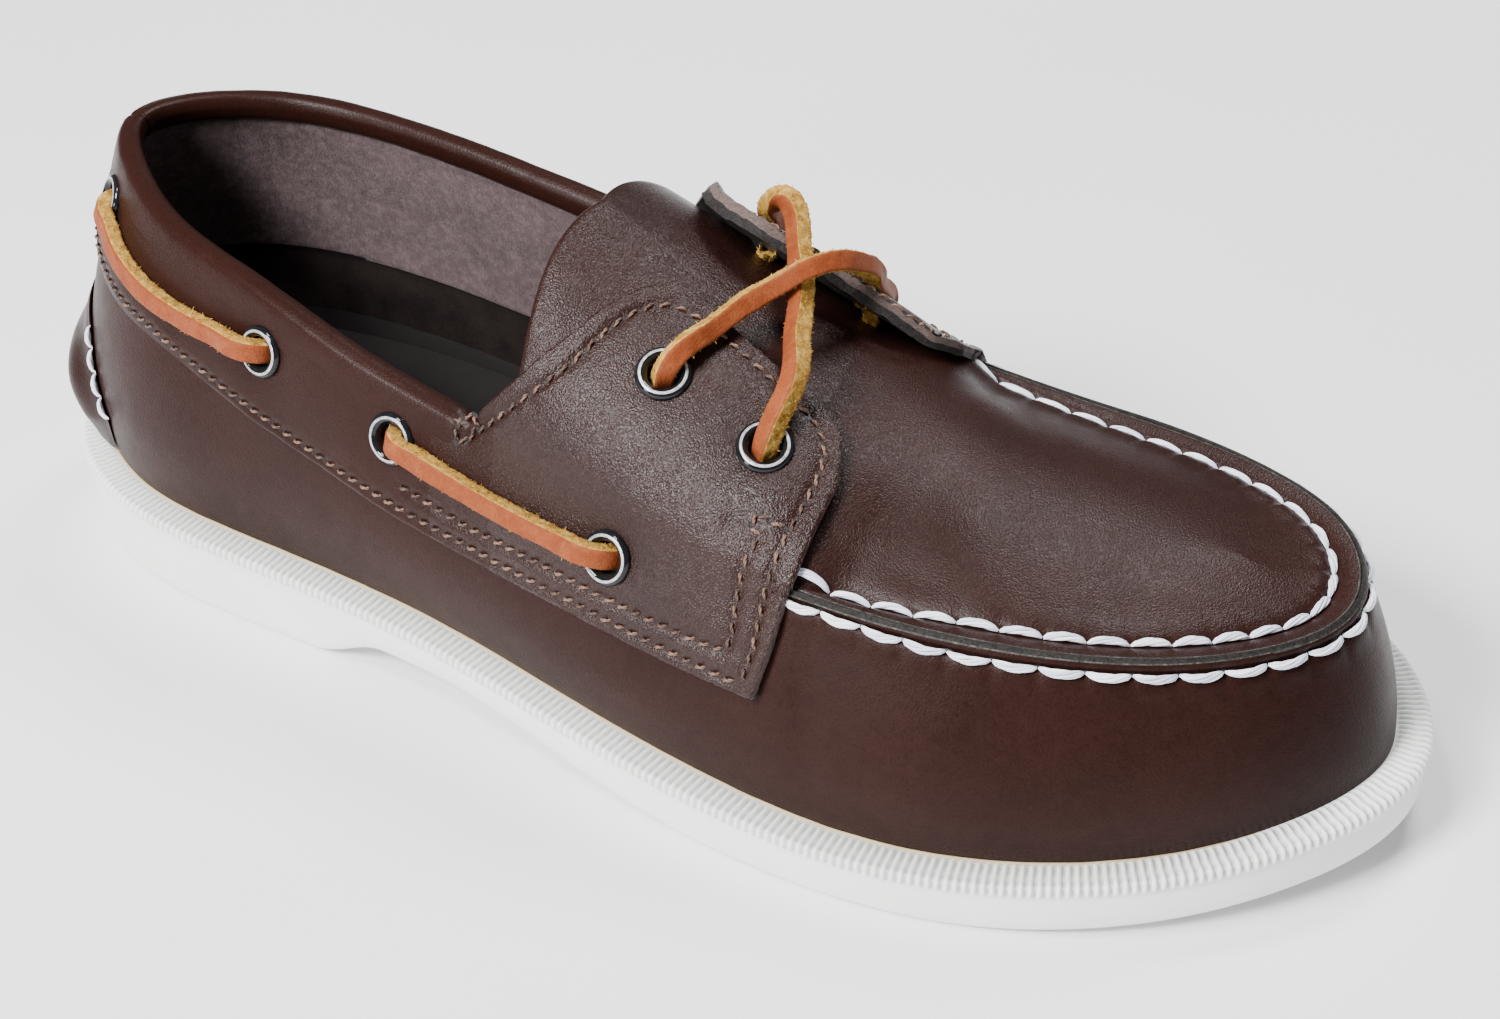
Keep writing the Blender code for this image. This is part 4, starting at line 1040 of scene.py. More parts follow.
def panel_piece(side):
    nv, na, nb = 88, 110, 104
    v = np.linspace(0, 1, nv)[:, None]
    a = np.linspace(0, 1, na)[None, :-1]
    kb, kt = 4.80 * a, 5.06 * a
    lo = low_edge(kb.ravel())[None, :]
    KA, WA = kb + (kt - kb) * v, lo + (1.0 - lo) * v
    u = np.linspace(0, 1, nb)
    top = soft_chain(TOP_LATERAL if side < 0 else TOP_MEDIAL, u, 1)
    bot = np.c_[4.80 + 2.06 * u, low_edge(4.80 + 2.06 * u)]
    rear = np.c_[4.80 + 0.26 * v[:, 0], bot[0, 1] + (1.0 - bot[0, 1]) * v[:, 0]]
    frnt = chain(STAY_FRONT, v[:, 0])
    frnt[0] = bot[-1]
    b, uu = v, u[None, :]
    KB, WB = [((1 - b) * bot[None, :, i] + b * top[None, :, i] + (1 - uu) * rear[:, None, i]
               + uu * frnt[:, None, i]
               - (1 - uu) * ((1 - b) * bot[0, i] + b * top[0, i])
               - uu * ((1 - b) * bot[-1, i] + b * top[-1, i])) for i in (0, 1)]
    K, W = np.concatenate([KA, KB], 1), np.concatenate([WA, WB], 1)
    K, W = K, np.maximum(W, 0.3)
    P = stay_skin(side, K.ravel(), W.ravel())
    Nn = stay_normal(side, K.ravel(), W.ravel())
    e = panel_off(side, P, K.ravel(), W.ravel())
    # at the collar the surface rolls inwards under the rolled edge
    col = 1 - ramp(K.ravel(), 4.85, 5.0)
    h = (1 - W.ravel()) * 45.0
    e = e - col * 1.6 * (1 - ramp(h, 0.0, 5.0))
    P, Nn, e = P.reshape(*K.shape, 3), Nn.reshape(*K.shape, 3), e.reshape(K.shape)
    inner = np.minimum(0.0, e - 0.2)
    if side > 0:                   # the open flap carries its own lining
        inner = inner - 1.5 * ramp(flap_lift(K.ravel(), W.ravel()).reshape(K.shape), 1.0, 3.5)
    V, F, flag = slab(P, Nn, e, inner, 5, 0.14, edge=0.66 if side < 0 else 0.34)
    n0 = 2 * K.size
    F = facing(V, F, CENTRE)
    mi = np.select([flag == 1, flag == 3, flag == 2], [1, 1 if side < 0 else 3, 2], 0)
    km = (0.5 * (K[:-1, :-1] + K[1:, 1:])).ravel()
    # the front of the overlay takes the shinier copies of the leather, a painted highlight strength
    mi[:len(km)] = np.select([km < 4.75, km < 5.25], [0, 4], 5)
    tint = np.concatenate([(0.55 * (1 - 0.5 * ramp(K, 3.6, 5.2)) * ramp(W, 0.52, 0.82) * (1 - ramp(K, 5.0, 5.5))).ravel()] * 2)
    peb = np.r_[np.tile((ramp(K, 4.1, 5.5)).ravel(), 2), np.ones(len(V) - n0)]
    tint = np.r_[tint, np.zeros(len(V) - n0)]
    rim = V[n0:]
    amp = noise(rim, 2.0, 20) * (0.10 if side < 0 else 0.22) + noise(rim, 1.1, 21) * 0.16 + noise(rim, 0.6, 22) * 0.10
    V[n0:] += unit(rim - CENTRE) * amp[:, None] * (ramp(rim[:, 0], 118, 135))[:, None]
    return piece("panel_" + ("lateral" if side < 0 else "medial"), V, F,
                 [LEATHER_STAY, EDGE, BACK, DARK_EDGE_AND_GROOVE_SHADE, LEATHER_MID, LEATHER_UP], mi,
                 attrs={"tint": tint, "pebbled": peb})


# ---------------------------------------------------------------- rolled collar
def roll_piece():
    s = np.linspace(-5.16, 5.16, 440)
    k = np.abs(s)
    ss = s % (2 * N)
    H = wall_height(ss)
    T = wall_top(ss)
    up = unit(skin(ss, 1.0) - skin(ss, 0.97))
    T0 = 1.15 + 0.95 * ramp(k, 2.6, 4.9) + GAP + 0.05
    end = ramp(k, 4.93, 5.14)
    o = T0 * (1 - end) - 0.4 * end
    drop = 2.2 * end
    rows = []
    prof = [("o", 0.0, -8.0), ("o", 0.03, -6.5), ("o", 0.10, -5.0), ("o", 0.16, -3.6), ("o", 0.18, -2.6)]
    for tag, a, b in prof:
        rows.append((o + a, np.full(len(s), b)))
    c, r = (o - 3.3) / 2, (o + 3.3) / 2 + 0.15
    for ph in np.linspace(0, pi, 15):
        rows.append((c + r * cos(ph), -1.7 + 0.98 * r * sin(ph) - drop))
    for a, b in ((-3.5, -2.5), (-3.5, -3.1), (-3.42, -3.7), (-3.2, -4.3), (-2.85, -4.8), (-2.3, -5.1)):
        rows.append((np.full(len(s), a), np.full(len(s), b)))
    G = []
    for a, b in rows:
        w = 1 + np.minimum(b, -0.01) / H
        p = skin(ss, w, a)
        G.append(p + up * np.maximum(b, 0)[:, None])
    G = np.array(G)
    nr = G.shape[0]
    V = G.reshape(-1, 3)
    wob = 0.16 * fbm(V, 14, 31, 2) + 0.05 * noise(V, 3.0, 32)
    # a small tuck over the back seam
    sv = np.tile(s, nr)
    wob = wob - 0.35 * np.exp(-((sv - 0.0) / 0.035) ** 2)
    nn = grid_normals(G).reshape(-1, 3)
    if ((V - CENTRE) * nn).sum() < 0:
        nn = -nn
    blend = np.repeat(np.clip(np.arange(nr) / 3.0, 0, 1), len(s))
    V = V + nn * (wob * blend)[:, None]
    F = quads(nr, len(s))
    tint = np.full(len(V), 0.0) + 0.55 * (1 - 0.5 * ramp(np.abs(sv), 3.6, 5.2))
    ob = piece("rolled_collar", V, F, LEATHER_STAY, attrs={"tint": tint, "pebbled": np.full(len(V), 0.0)})
    return ob


# ---------------------------------------------------------------- lining and insole
def lining_piece():
    ns = 420
    s = np.linspace(0, 2 * N, ns, endpoint=False)
    k = station(s)
    H = wall_height(s)
    topw = np.where(k < 5.2, 1 - 3.9 / H, 1.0)
    v = np.linspace(0, 1, 60)
    S = np.repeat(s[None], len(v), 0)
    W = 0.03 + (topw[None] - 0.03) * v[:, None]
    off = -2.35 - 0.2 * np.sin(pi * v)[:, None] * np.ones_like(S)
    P = skin(S.ravel(), W.ravel(), off.ravel()).reshape(*S.shape, 3)
    Nn = skin_normal(S.ravel(), W.ravel()).reshape(P.shape)
    Pf = P.reshape(-1, 3)
    disp = 0.25 * fbm(Pf, 12, 41, 3).reshape(S.shape)
    kk = station(S.ravel()).reshape(S.shape)
    # seams: a counter edge near the heel, a long one along the side, the edge of the lower band
    heel_seam = np.abs(kk - 1.55) * 30
    long_seam = np.abs(W - (0.66 - 0.012 * kk)) * 55
    low = 0.37 - 0.004 * kk
    disp = disp + 0.35 * np.exp(-(heel_seam / 0.7) ** 2) * (W > 0.42)
    disp = disp + 0.22 * np.exp(-(long_seam / 0.6) ** 2)
    disp = disp + 0.9 * (1 - ramp((W - low) * 55, -0.6, 0.5)) * 0.6
    Q = P + Nn * disp[..., None]
    Fq = quads(len(v), ns, True)
    mid_w = 0.5 * (W[:-1] + W[1:])
    mi = np.select([mid_w < 0.115, mid_w < low[:-1]], [2, 1], 0).ravel()
    V = Q.reshape(-1, 3)
    Fq = facing(V, Fq, CENTRE)[:, ::-1]
    return piece("lining", V, Fq, [SUEDE, BAND, INSOLE], mi)


def half_plan(side, d=0.0):
    s = np.linspace(0, N, 1500) if side < 0 else np.linspace(2 * N, N, 1500)
    p = inset(s, d)
    o = np.argsort(p[:, 0])
    return p[o, 0], p[o, 1]


def insole_piece():
    L, M = half_plan(-1, LEDGE + WALL + 0.2), half_plan(1, LEDGE + WALL + 0.2)
    x0, x1 = L[0][0] + 0.05, L[0][-1] - 0.3
    t = (1 - np.cos(np.linspace(0, pi, 120))) / 2
    x = x0 + (x1 - x0) * t
    yl, ym = np.interp(x, *L), np.interp(x, *M)
    u = (1 - np.cos(np.linspace(0, pi, 32))) / 2
    Y = yl[:, None] + (ym - yl)[:, None] * u[None]
    X = np.repeat(x[:, None], len(u), 1)
    edge = np.minimum(Y - yl[:, None], ym[:, None] - Y)
    Z = (sole_top(X.ravel()).reshape(X.shape) + GAP + 0.05 + INSOLE_T - 0.2
         + 1.6 * (1 - ramp(edge, 0, 12)) + 0.8 * np.exp(-((X - 95) / 40) ** 2) * ramp(Y, 2, 25))
    P = np.stack([X, Y, Z], -1)
    Nn = np.zeros_like(P)
    Nn[..., 2] = 1
    V, F, flag = slab(P, Nn, np.zeros(X.shape), np.full(X.shape, -2.6), 2, 0.1)
    F = facing(V, F, P.reshape(-1, 3).mean(0) - (0, 0, 1.5))
    return piece("insole_board", V, F, INSOLE)


# ---------------------------------------------------------------- outsole
def sole_piece():
    sd = np.linspace(0, 2 * N, 8001)
    o = outline(sd)
    dd = np.r_[0, np.cumsum(np.linalg.norm(np.diff(o, axis=0), axis=1))]
    ribs = int(round(dd[-1] / 1.62))
    nc = ribs * 6
    arc = np.linspace(0, dd[-1], nc, endpoint=False)
    s = np.interp(arc, dd, sd)
    ph = np.arange(nc) / 6.0
    rib = 0.5 + 0.5 * np.tanh(1.6 * np.cos(2 * pi * ph) + 0.3) / np.tanh(1.9)
    x = outline(s)[:, 0]
    zt = sole_top(x)
    zb = sole_bottom(x)
    hgt = zt - zb
    wob = 0.06 * noise(np.c_[arc, arc * 0, arc * 0], 9.0, 51)
    rows, shade = [], []

    def row(d, z, sh=0.0):
        q = inset(s, d) if np.ndim(d) == 0 else outline(s) - np.asarray(d)[:, None] * outline_normal(s)
        rows.append(np.c_[q, z])
        shade.append(np.full(nc, sh) if np.ndim(sh) == 0 else sh)
    # the last value of each row is painted shade: darker in the grooves between the ribs and where the upper meets
    # the ledge
    rc = (1 - rib)
    row(LEDGE + 3.0, zt - 0.3)
    row(LEDGE + 0.2, zt + 0.0)
    row(LEDGE - 0.2, zt + 0.05, 0.15)
    row(LEDGE - 0.9, zt - 0.05 + 0.62 * rib + wob, 0.75 * rc + 0.12)
    row(4.0, zt - 0.05 + 0.70 * rib + wob, 0.75 * rc + 0.12)
    row(2.4, zt - 0.08 + 0.46 * rib + wob, 0.45 * rc + 0.10)
    row(1.0, zt - 0.15 + 0.68 * rib + wob, 0.75 * rc + 0.10)
    row(0.55 - 0.45 * rib, zt - 0.35 + 0.62 * rib, 0.60 * rc)
    row(0.42 - 0.82 * rib, zt - 0.60 + 0.34 * rib, 0.55 * rc)
    row(0.40 - 0.90 * rib, zt - 1.15, 0.50 * rc)
    row(0.38 - 0.72 * rib, zt - 1.75, 0.4 * rc)
    row(0.32 - 0.16 * rib, zt - 2.15, 0.1)
    row(0.36, zt - 2.5, 0.05)
    for f in (0.30, 0.52, 0.76):
        row(0.36 + 0.9 * (f - 0.2) ** 1.6, zt - hgt * f - 0.6 * (1 - f), 0.0)
    row(1.15, zb + 1.3)
    row(1.55, zb + 0.55)
    row(2.2, zb + 0.12)
    row(3.0, zb + 0.0)
    row(4.6, zb + 0.9)
    G = np.array(rows)
    V = G.reshape(-1, 3)
    F = facing(V, quads(len(rows), nc, True), (150, -4, 9))
    ob = piece("outsole_rim", V, F, RUBBER, attrs={"shade": np.concatenate(shade)})
    return ob


def tread_piece():
    """Underside: wavy siped tread on heel and forefoot, a plain arch."""
    L, M = half_plan(-1, 2.9), half_plan(1, 2.9)
    x = np.linspace(L[0][0] + 0.3, L[0][-1] - 0.5, 520)
    yl, ym = np.interp(x, *L), np.interp(x, *M)
    u = np.linspace(0, 1, 60)
    Y = yl[:, None] + (ym - yl)[:, None] * u
    X = np.repeat(x[:, None], len(u), 1)
    edge = np.minimum(Y - yl[:, None], ym[:, None] - Y)
    xx = X + 1.7 * np.sin(2 * pi * Y / 9.0) + 0.004 * (Y + 4) ** 2
    cut = np.exp(-(((xx / 4.6) - np.round(xx / 4.6)) * 4.6 / 0.42) ** 2)
    zone = (1 - ramp(X, 76, 80)) + ramp(X, 168, 174)
    inside = ramp(edge, 4.2, 5.2) * ramp(X, 5.0, 7.0) * (1 - ramp(X, 284, 288))
    rimcut = np.exp(-((edge - 4.0) / 0.7) ** 2) * np.clip(zone, 0, 1)
    Z = sole_bottom(X.ravel()).reshape(X.shape) + 1.3 * cut * zone * inside + 1.1 * rimcut
    Z = Z + 0.5 * (1 - ramp(edge, 0, 1.0))
    V = np.stack([X, Y, Z], -1).reshape(-1, 3)
    F = quads(*X.shape)
    F = facing(V, F, (150, -4, 60))
    # painted shade in the sipes and in the cut round the rim
    shade = (0.35 * np.clip(cut * zone * inside + rimcut, 0, 1)).ravel()
    return piece("outsole_tread", V, F, RUBBER, attrs={"shade": shade})


def footbed_piece():
    """Top of the sole under the upper, and the cream line of cement at the feather edge."""
    L, M = half_plan(-1, LEDGE + 0.6), half_plan(1, LEDGE + 0.6)
    x = np.linspace(L[0][0] + 0.2, L[0][-1] - 0.4, 90)
    yl, ym = np.interp(x, *L), np.interp(x, *M)
    u = np.linspace(0, 1, 16)
    Y = yl[:, None] + (ym - yl)[:, None] * u
    X = np.repeat(x[:, None], len(u), 1)
    Z = sole_top(X.ravel()).reshape(X.shape) + 0.02
    V = np.stack([X, Y, Z], -1).reshape(-1, 3)
    # painted shade on the top of the sole, under the upper
    piece("outsole_top", V, facing(V, quads(*X.shape), (150, -4, -60)), RUBBER,
          attrs={"shade": np.full(len(V), 0.2)})
    s = np.linspace(0, 2 * N, 500, endpoint=False)
    p = inset(s, LEDGE - 0.12)
    c = np.c_[p, sole_top(p[:, 0]) + 0.22 + 0.08 * noise(np.c_[p, p[:, 0] * 0], 3.0, 55)]
    c = np.r_[c, c[:3]]
    V, F = tube(c, 0.42, 6)
    piece("feather_line", V, facing(V, F, (150, -4, 0)), CREAM)


CREAM = thread_mat("cream_cement", (0.45, 0.36, 0.22), (0.66, 0.56, 0.38), (0.78, 0.71, 0.55), 0.6, 0.0)


# ---------------------------------------------------------------- white stitches
def bundle(heap, pts, nrm, side_dir, rng, width=0.86, strands=5, rise=0.95, scallop=0.8):
    """One moccasin stitch: loosely twisted strands from hole to hole."""
    n = 11
    t = np.linspace(0, 1, n)
    base = resample(pts, n=n)
    arch = np.sin(pi * t) ** 0.55
    mid = base + nrm * (rise * arch - 0.25 * (1 - arch))[:, None] + side_dir * (scallop * np.sin(pi * t) ** 0.8)[:, None]
    tan = unit(np.gradient(mid, axis=0))
    a = unit(nrm - (nrm * tan).sum(1, keepdims=True) * tan)
    b = np.cross(tan, a)
    turn = rng.uniform(0.38, 0.60) * 2 * pi
    ph0 = rng.uniform(0, 2 * pi)
    spread = width * (0.30 + 0.70 * np.sin(pi * t) ** 0.6)
    for j in range(strands):
        ph = ph0 + 2 * pi * j / strands + turn * t
        rr = spread * rng.uniform(0.50, 0.72)
        jit = noise(np.c_[t * 9 + 20 * j, t * 0 + heap.n * 0.01, t * 0], 1.4, 61)
        c = mid + a * (0.55 * rr * np.sin(ph) + 0.05 * jit)[:, None] + b * (rr * np.cos(ph))[:, None]
        rad = 0.30 * (0.55 + 0.45 * np.sin(pi * t) ** 0.5) * rng.uniform(0.9, 1.12)
        rad[0] = rad[-1] = 0.08
        V, F = tube(c, rad, 6, up=a)
        heap.add(V, F, rng.uniform(0.2, 1.0))


def white_stitches():
    rng = np.random.default_rng(12)
    upper, lower = Heap(), Heap()
    for i in range(N_ST):
        d0, d1 = _l0 + _step * (i + 0.02), _l0 + _step * (i + 0.98)
        s = np.interp(np.linspace(d0, d1, 9), _ld, _ls)
        k = station(s)
        # upper row: behind the band
        u = wall_top(s)
        g = np.c_[crest_x(k), crest_y(k), crest_z(k)]
        span = np.hypot(*(g - u)[:, :2].T)
        q = np.arccos(np.clip(1 - upper_row(s) / span, -1, 1)) * 2 / pi
        P, nn = skin(s, 1 + q), skin_normal(s, 1 + q)
        inn = unit(g - u)
        inn = unit(inn - (inn * nn).sum(1, keepdims=True) * nn)
        a, b = resample(P, n=11), resample(nn, n=11)
        bundle(upper, a - 0.15 * b, unit(b), resample(inn, n=11), rng, rise=0.66, scallop=0.36)
        # lower row: at the foot of the ridge
        H = wall_height(s)
        w = 1 - lower_row(s) / H
        P, nn = skin(s, w), skin_normal(s, w)
        dn = unit(skin(s, w - 0.02) - P)
        a, b = resample(P, n=11), unit(resample(nn, n=11))
        bundle(lower, a + 0.05 * b, b, resample(dn, n=11), rng, rise=0.74, scallop=0.52)
    for name, h in (("plug_stitching", upper), ("vamp_stitching", lower)):
        V, F, A = h.out()
        piece(name, V, F, WHITE, attrs={"tone": A})


# ---------------------------------------------------------------- brown stitches
def brown_row(heap, hole_shades, side, kw, rng, ends=True):
    """Slanted, twisted little stitches along a row of (station, place) points."""
    fine = stay_skin(side, kw[:, 0], kw[:, 1])
    d = np.r_[0, np.cumsum(np.linalg.norm(np.diff(fine, axis=0), axis=1))]
    m = max(2, int(round(d[-1] / BROWN)))
    at = np.linspace(0, d[-1], m + 1)
    K, W = np.interp(at, d, kw[:, 0]), np.interp(at, d, kw[:, 1])
    P, nn = panel_point(side, K, W)
    for i in range(m):
        a, b = P[i], P[i + 1]
        t = unit(b - a)
        n = unit(nn[i] + nn[i + 1])
        c = np.cross(n, t)
        L = np.linalg.norm(b - a)
        tt = np.linspace(0, 1, 7)
        slant = 0.55
        mid = (a[None] + (b - a)[None] * (0.13 + 0.74 * tt[:, None])
               + c[None] * (slant * (tt - 0.5))[:, None] * 1.3
               + n[None] * (0.05 + 0.42 * np.sin(pi * tt) ** 0.7 - 0.18 * (1 - np.sin(pi * tt)))[:, None])
        tone = rng.uniform(0.35, 1.0)
        turn = rng.uniform(0.8, 1.1) * 2 * pi
        p0 = rng.uniform(0, 2 * pi)
        for j in (0, 1):
            ph = p0 + pi * j + turn * tt
            rr = 0.17
            q = mid + c[None] * (rr * np.cos(ph))[:, None] + n[None] * (rr * 0.8 * np.sin(ph))[:, None]
            rad = np.full(7, 0.205)
            rad[0] = rad[-1] = 0.07
            V, F = tube(q, rad, 5, up=np.tile(n, (7, 1)))
            heap.add(V, F, np.clip(tone + 0.12 * (j - 0.5), 0, 1))
    # painted shade: a dark ring round each stitch hole, wider than the hole itself
    for i in range(m + 1):
        n = unit(nn[i])
        t = unit(P[min(i + 1, m)] - P[max(i - 1, 0)])
        c = np.cross(n, t)
        ang = np.linspace(0, 2 * pi, 8, endpoint=False)
        ring0 = P[i] + n * 0.10 + t * 0.0 + np.outer(np.cos(ang), t) * 0.86 + np.outer(np.sin(ang), c) * 0.60
        ring1 = P[i] + n * 0.02 + np.outer(np.cos(ang), t) * 0.52 + np.outer(np.sin(ang), c) * 0.36
        ring2 = P[i] - n * 0.1 + np.outer(np.cos(ang), t) * 0.03 + np.outer(np.sin(ang), c) * 0.02
        V = np.concatenate([ring0, ring1, ring2])
        hole_shades.add(V, quads(3, 8, True), 0.0)


def brown_stitches(side):
    rng = np.random.default_rng(33 + side)
    heap, hole_shades = Heap(), Heap()
    t = np.linspace(0, 1, 600)
    for table in (ROW_OUTER, ROW_INNER, ROW_LOWER):
        brown_row(heap, hole_shades, side, soft_chain(table, t, 1), rng)
    # the back-tack loop at the notch and the square one in front
    for table in ([(5.08, 0.965), (5.03, 0.94), (4.98, 0.922), (4.985, 0.97), (5.01, 1.03), (5.08, 1.09),
                   (5.15, 1.105), (5.14, 1.05), (5.08, 0.98)],
                  [(6.77, 1.283), (6.715, 1.30), (6.69, 1.343), (6.73, 1.372), (6.77, 1.361), (6.87, 1.361)]):
        brown_row(heap, hole_shades, side, np.c_[[np.interp(t, np.linspace(0, 1, len(table)),
                                                      [r[i] for r in table]) for i in (0, 1)]].T, rng)
    tag = "lateral" if side < 0 else "medial"
    V, F, A = heap.out()
    piece("panel_stitching_" + tag, V, F, TAN, attrs={"tone": A})
    V, F, A = hole_shades.out()
    piece("stitch_holes_" + tag, V, F, HOLE_SHADE)


# ---------------------------------------------------------------- eyelets
def eyelet_seat(side, i):
    """Centre on the leather and outward normal."""
    k, w = eyelet_place(side, i)
    P = stay_skin(side, k, w)
    n = stay_normal(side, k, w)
    e = panel_off(side, P, np.atleast_1d(k), np.atleast_1d(w), eyes=False)
    return (P + n * (e + 0.05)[:, None])[0], n[0]


CROWN = (3.98, 4.50)     # inner and outer radius of the painted highlight ring


def eyelet_pieces(side):
    prof = [(3.35, -2.4), (3.5, -0.6), (4.9, -0.25), (5.15, 0.05), (5.22, 0.38), (5.10, 0.78), (4.78, 1.14),
            (4.35, 1.36), (3.92, 1.38), (3.52, 1.18), (3.20, 0.80), (3.00, 0.30), (2.90, -0.3), (2.85, -1.2),
            (2.83, -2.2)]
    fine = spline(prof, 401)
    keep = set(np.linspace(0, 400, 26).astype(int))
    for edge in CROWN:      # a row exactly on each edge of the painted highlight ring
        keep.add(int(np.argmin(np.abs(fine[:, 0] - edge) + 9.0 * (fine[:, 1] < 1.0))))
    prof = fine[sorted(keep)]
    ns = 44
    ang = np.linspace(0, 2 * pi, ns, endpoint=False)
    tag = "lat" if side < 0 else "med"
    for i in range(6):
        c, n = eyelet_seat(side, i)
        a = unit(np.cross(n, (1.0, 0.2, 0.1)))
        b = np.cross(n, a)
        G = (c + np.outer(np.cos(ang), a)[None] * prof[:, None, :1] + np.outer(np.sin(ang), b)[None]
             * prof[:, None, :1] + n[None, None] * prof[:, None, 1:])
        V = G.reshape(-1, 3)
        F = quads(len(prof), ns, True)
        # painted shade: a dark disc closes the bore, standing for the shade inside the hole
        rr = np.array([2.9, 1.4, 0.05])
        D = (c - n * 1.5 + (np.outer(np.cos(ang), a)[None] + np.outer(np.sin(ang), b)[None]) * rr[:, None, None]
             ).reshape(-1, 3)
        F2 = quads(3, ns, True, len(V))
        pr = 0.5 * (prof[1:] + prof[:-1])
        # painted highlight: crown faces between these radii take the pale grey ring
        crown = (pr[:, 0] > CROWN[0]) & (pr[:, 0] < CROWN[1]) & (pr[:, 1] > 1.0)
        mi = np.r_[np.repeat(np.where(crown, 2, 0), ns), np.ones(len(F2))]
        ob = piece("eyelet_%s_%d_ring" % (tag, i + 1), np.r_[V, D], np.r_[F, F2], [ENAMEL, HOLE_SHADE, CROWN_HIGHLIGHT], mi)
        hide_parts("eyelet_%s_%d" % (tag, i + 1))


# ---------------------------------------------------------------- laces
def lace_section(m=36, hw=1.6, ht=1.9, r=0.38):
    """Rounded rectangle; returns points and fuzz (0 on the +a face, which is the grain)."""
    per = []
    for cx, cy, a0 in ((hw - r, ht - r, 0), (-hw + r, ht - r, 90), (-hw + r, -ht + r, 180), (hw - r, -ht + r, 270)):
        for q in np.linspace(a0, a0 + 90, 4):
            per.append((cx + r * cos(radians(q)), cy + r * sin(radians(q))))
    per = np.array(per + per[:1])
    p = resample(per, n=m + 1)[:-1]
    fuzz = 1 - ramp(p[:, 0], hw - 0.42, hw - 0.12)
    return p, fuzz


def lace(name, path, face, seed, step=0.36, hw=1.6, ht=1.9, fringe=560):
    """face gives, at each given point, the direction that the dyed grain side looks."""
    path = np.asarray(path, float)
    raw_d = np.r_[0, np.cumsum(np.linalg.norm(np.diff(path, axis=0), axis=1))]
    n = int(raw_d[-1] / step)
    c = spline(path, n)
    t = np.linspace(0, raw_d[-1], n)
    f = np.c_[[np.interp(t, raw_d, np.asarray(face, float)[:, i]) for i in range(3)]].T
    f = unit(f)
    prof, fuzz = lace_section(hw=hw, ht=ht)
    V, F = sweep(c, prof, f)
    m = len(prof)
    ctr = np.repeat(c, m, 0)
    out = unit(V - ctr)
    fz = np.tile(fuzz, n)
    rag = (0.04 * noise(V, 1.7, seed) + 0.10 * noise(V, 0.75, seed + 1) + 0.17 * noise(V, 0.4, seed + 2))
    V = V + out * (fz * (rag + 0.06) + (1 - fz) * 0.05 * noise(V, 1.6, seed + 3))[:, None]
    # a slow change of width along the strip
    V = V + out * (0.10 * noise(np.repeat(np.c_[t, t * 0, t * 0], m, 0), 6.0, seed + 4))[:, None]
    tone = np.clip(0.5 + 0.30 * noise(V, 1.1, seed + 5) + 0.25 * noise(V, 0.4, seed + 6), 0, 1)
    rng = np.random.default_rng(seed)
    heap = Heap()
    ids = rng.integers(0, len(V), fringe * 6)
    ids = [q for q in ids if fz[q] > 0.5][:fringe]
    for q in ids:
        d = unit(out[q] + rng.normal(0, 0.55, 3))
        L = rng.uniform(0.18, 0.55) * (1.6 if rng.random() < 0.06 else 1.0)
        p = V[q] + np.outer(np.linspace(-0.15, L, 4), d) + np.outer([0, 0, 0.06, 0.16], rng.normal(0, 0.5, 3))
        vv, ff = tube(p, [0.10, 0.085, 0.06, 0.02], 4, up=np.tile(unit(np.cross(d, (0.3, 0.9, 0.2))), (4, 1)))
        heap.add(vv, ff, rng.uniform(0.3, 1.0))
    hv, hf, ha = heap.out()
    Vn = np.r_[V, hv]
    Fn = np.r_[F, hf + len(V)]
    return piece(name, Vn, Fn, RAWHIDE, attrs={"fuzz": np.r_[fz, np.ones(len(hv))],
                                               "tone": np.r_[tone, ha]})


def side_bar(side, a, b, sag):
    (k0, w0), (k1, w1) = eyelet_place(side, a), eyelet_place(side, b)
    (c0, n0), (c1, n1) = eyelet_seat(side, a), eyelet_seat(side, b)
    t = np.linspace(0, 1, 15)[2:-2]
    k = k0 + (k1 - k0) * t
    w = w0 + (w1 - w0) * t - sag * np.sin(pi * t)
    P = stay_skin(side, k, w)
    nn = stay_normal(side, k, w)
    e = panel_off(side, P, k, w, eyes=False)
    lift = 1.45 + 0.8 * np.exp(-((t - 0.0) / 0.16) ** 2) + 0.8 * np.exp(-((t - 1.0) / 0.16) ** 2)
    mid = P + nn * (e + lift)[:, None]
    d0, d1 = unit(mid[0] - c0), unit(mid[-1] - c1)
    d0, d1 = unit(d0 - d0 @ n0 * n0), unit(d1 - d1 @ n1 * n1)
    pts = np.r_[[c0 - n0 * 1.6 - d0 * 0.5, c0 + n0 * 0.9 + d0 * 0.7, c0 + n0 * 2.5 + d0 * 3.0], mid,
                [c1 + n1 * 2.5 + d1 * 3.0, c1 + n1 * 0.9 + d1 * 0.7, c1 - n1 * 1.6 - d1 * 0.5]]
    nall = np.r_[[n0 - 0.9 * d0, n0 - 0.4 * d0, n0], nn, [n1, n1 - 0.4 * d1, n1 - 0.9 * d1]]
    tan = unit(np.gradient(pts, axis=0))
    down = unit(np.cross(tan, nall))
    if down[len(down) // 2][2] > 0:
        down = -down
    face = unit(unit(nall) * 0.97 + down * 0.10)
    tag = "lateral" if side < 0 else "medial"
    return lace("lace_%s_%s_strip" % ("rear" if a == 0 else "front", tag), pts, face, 70 + a * 3 + side)


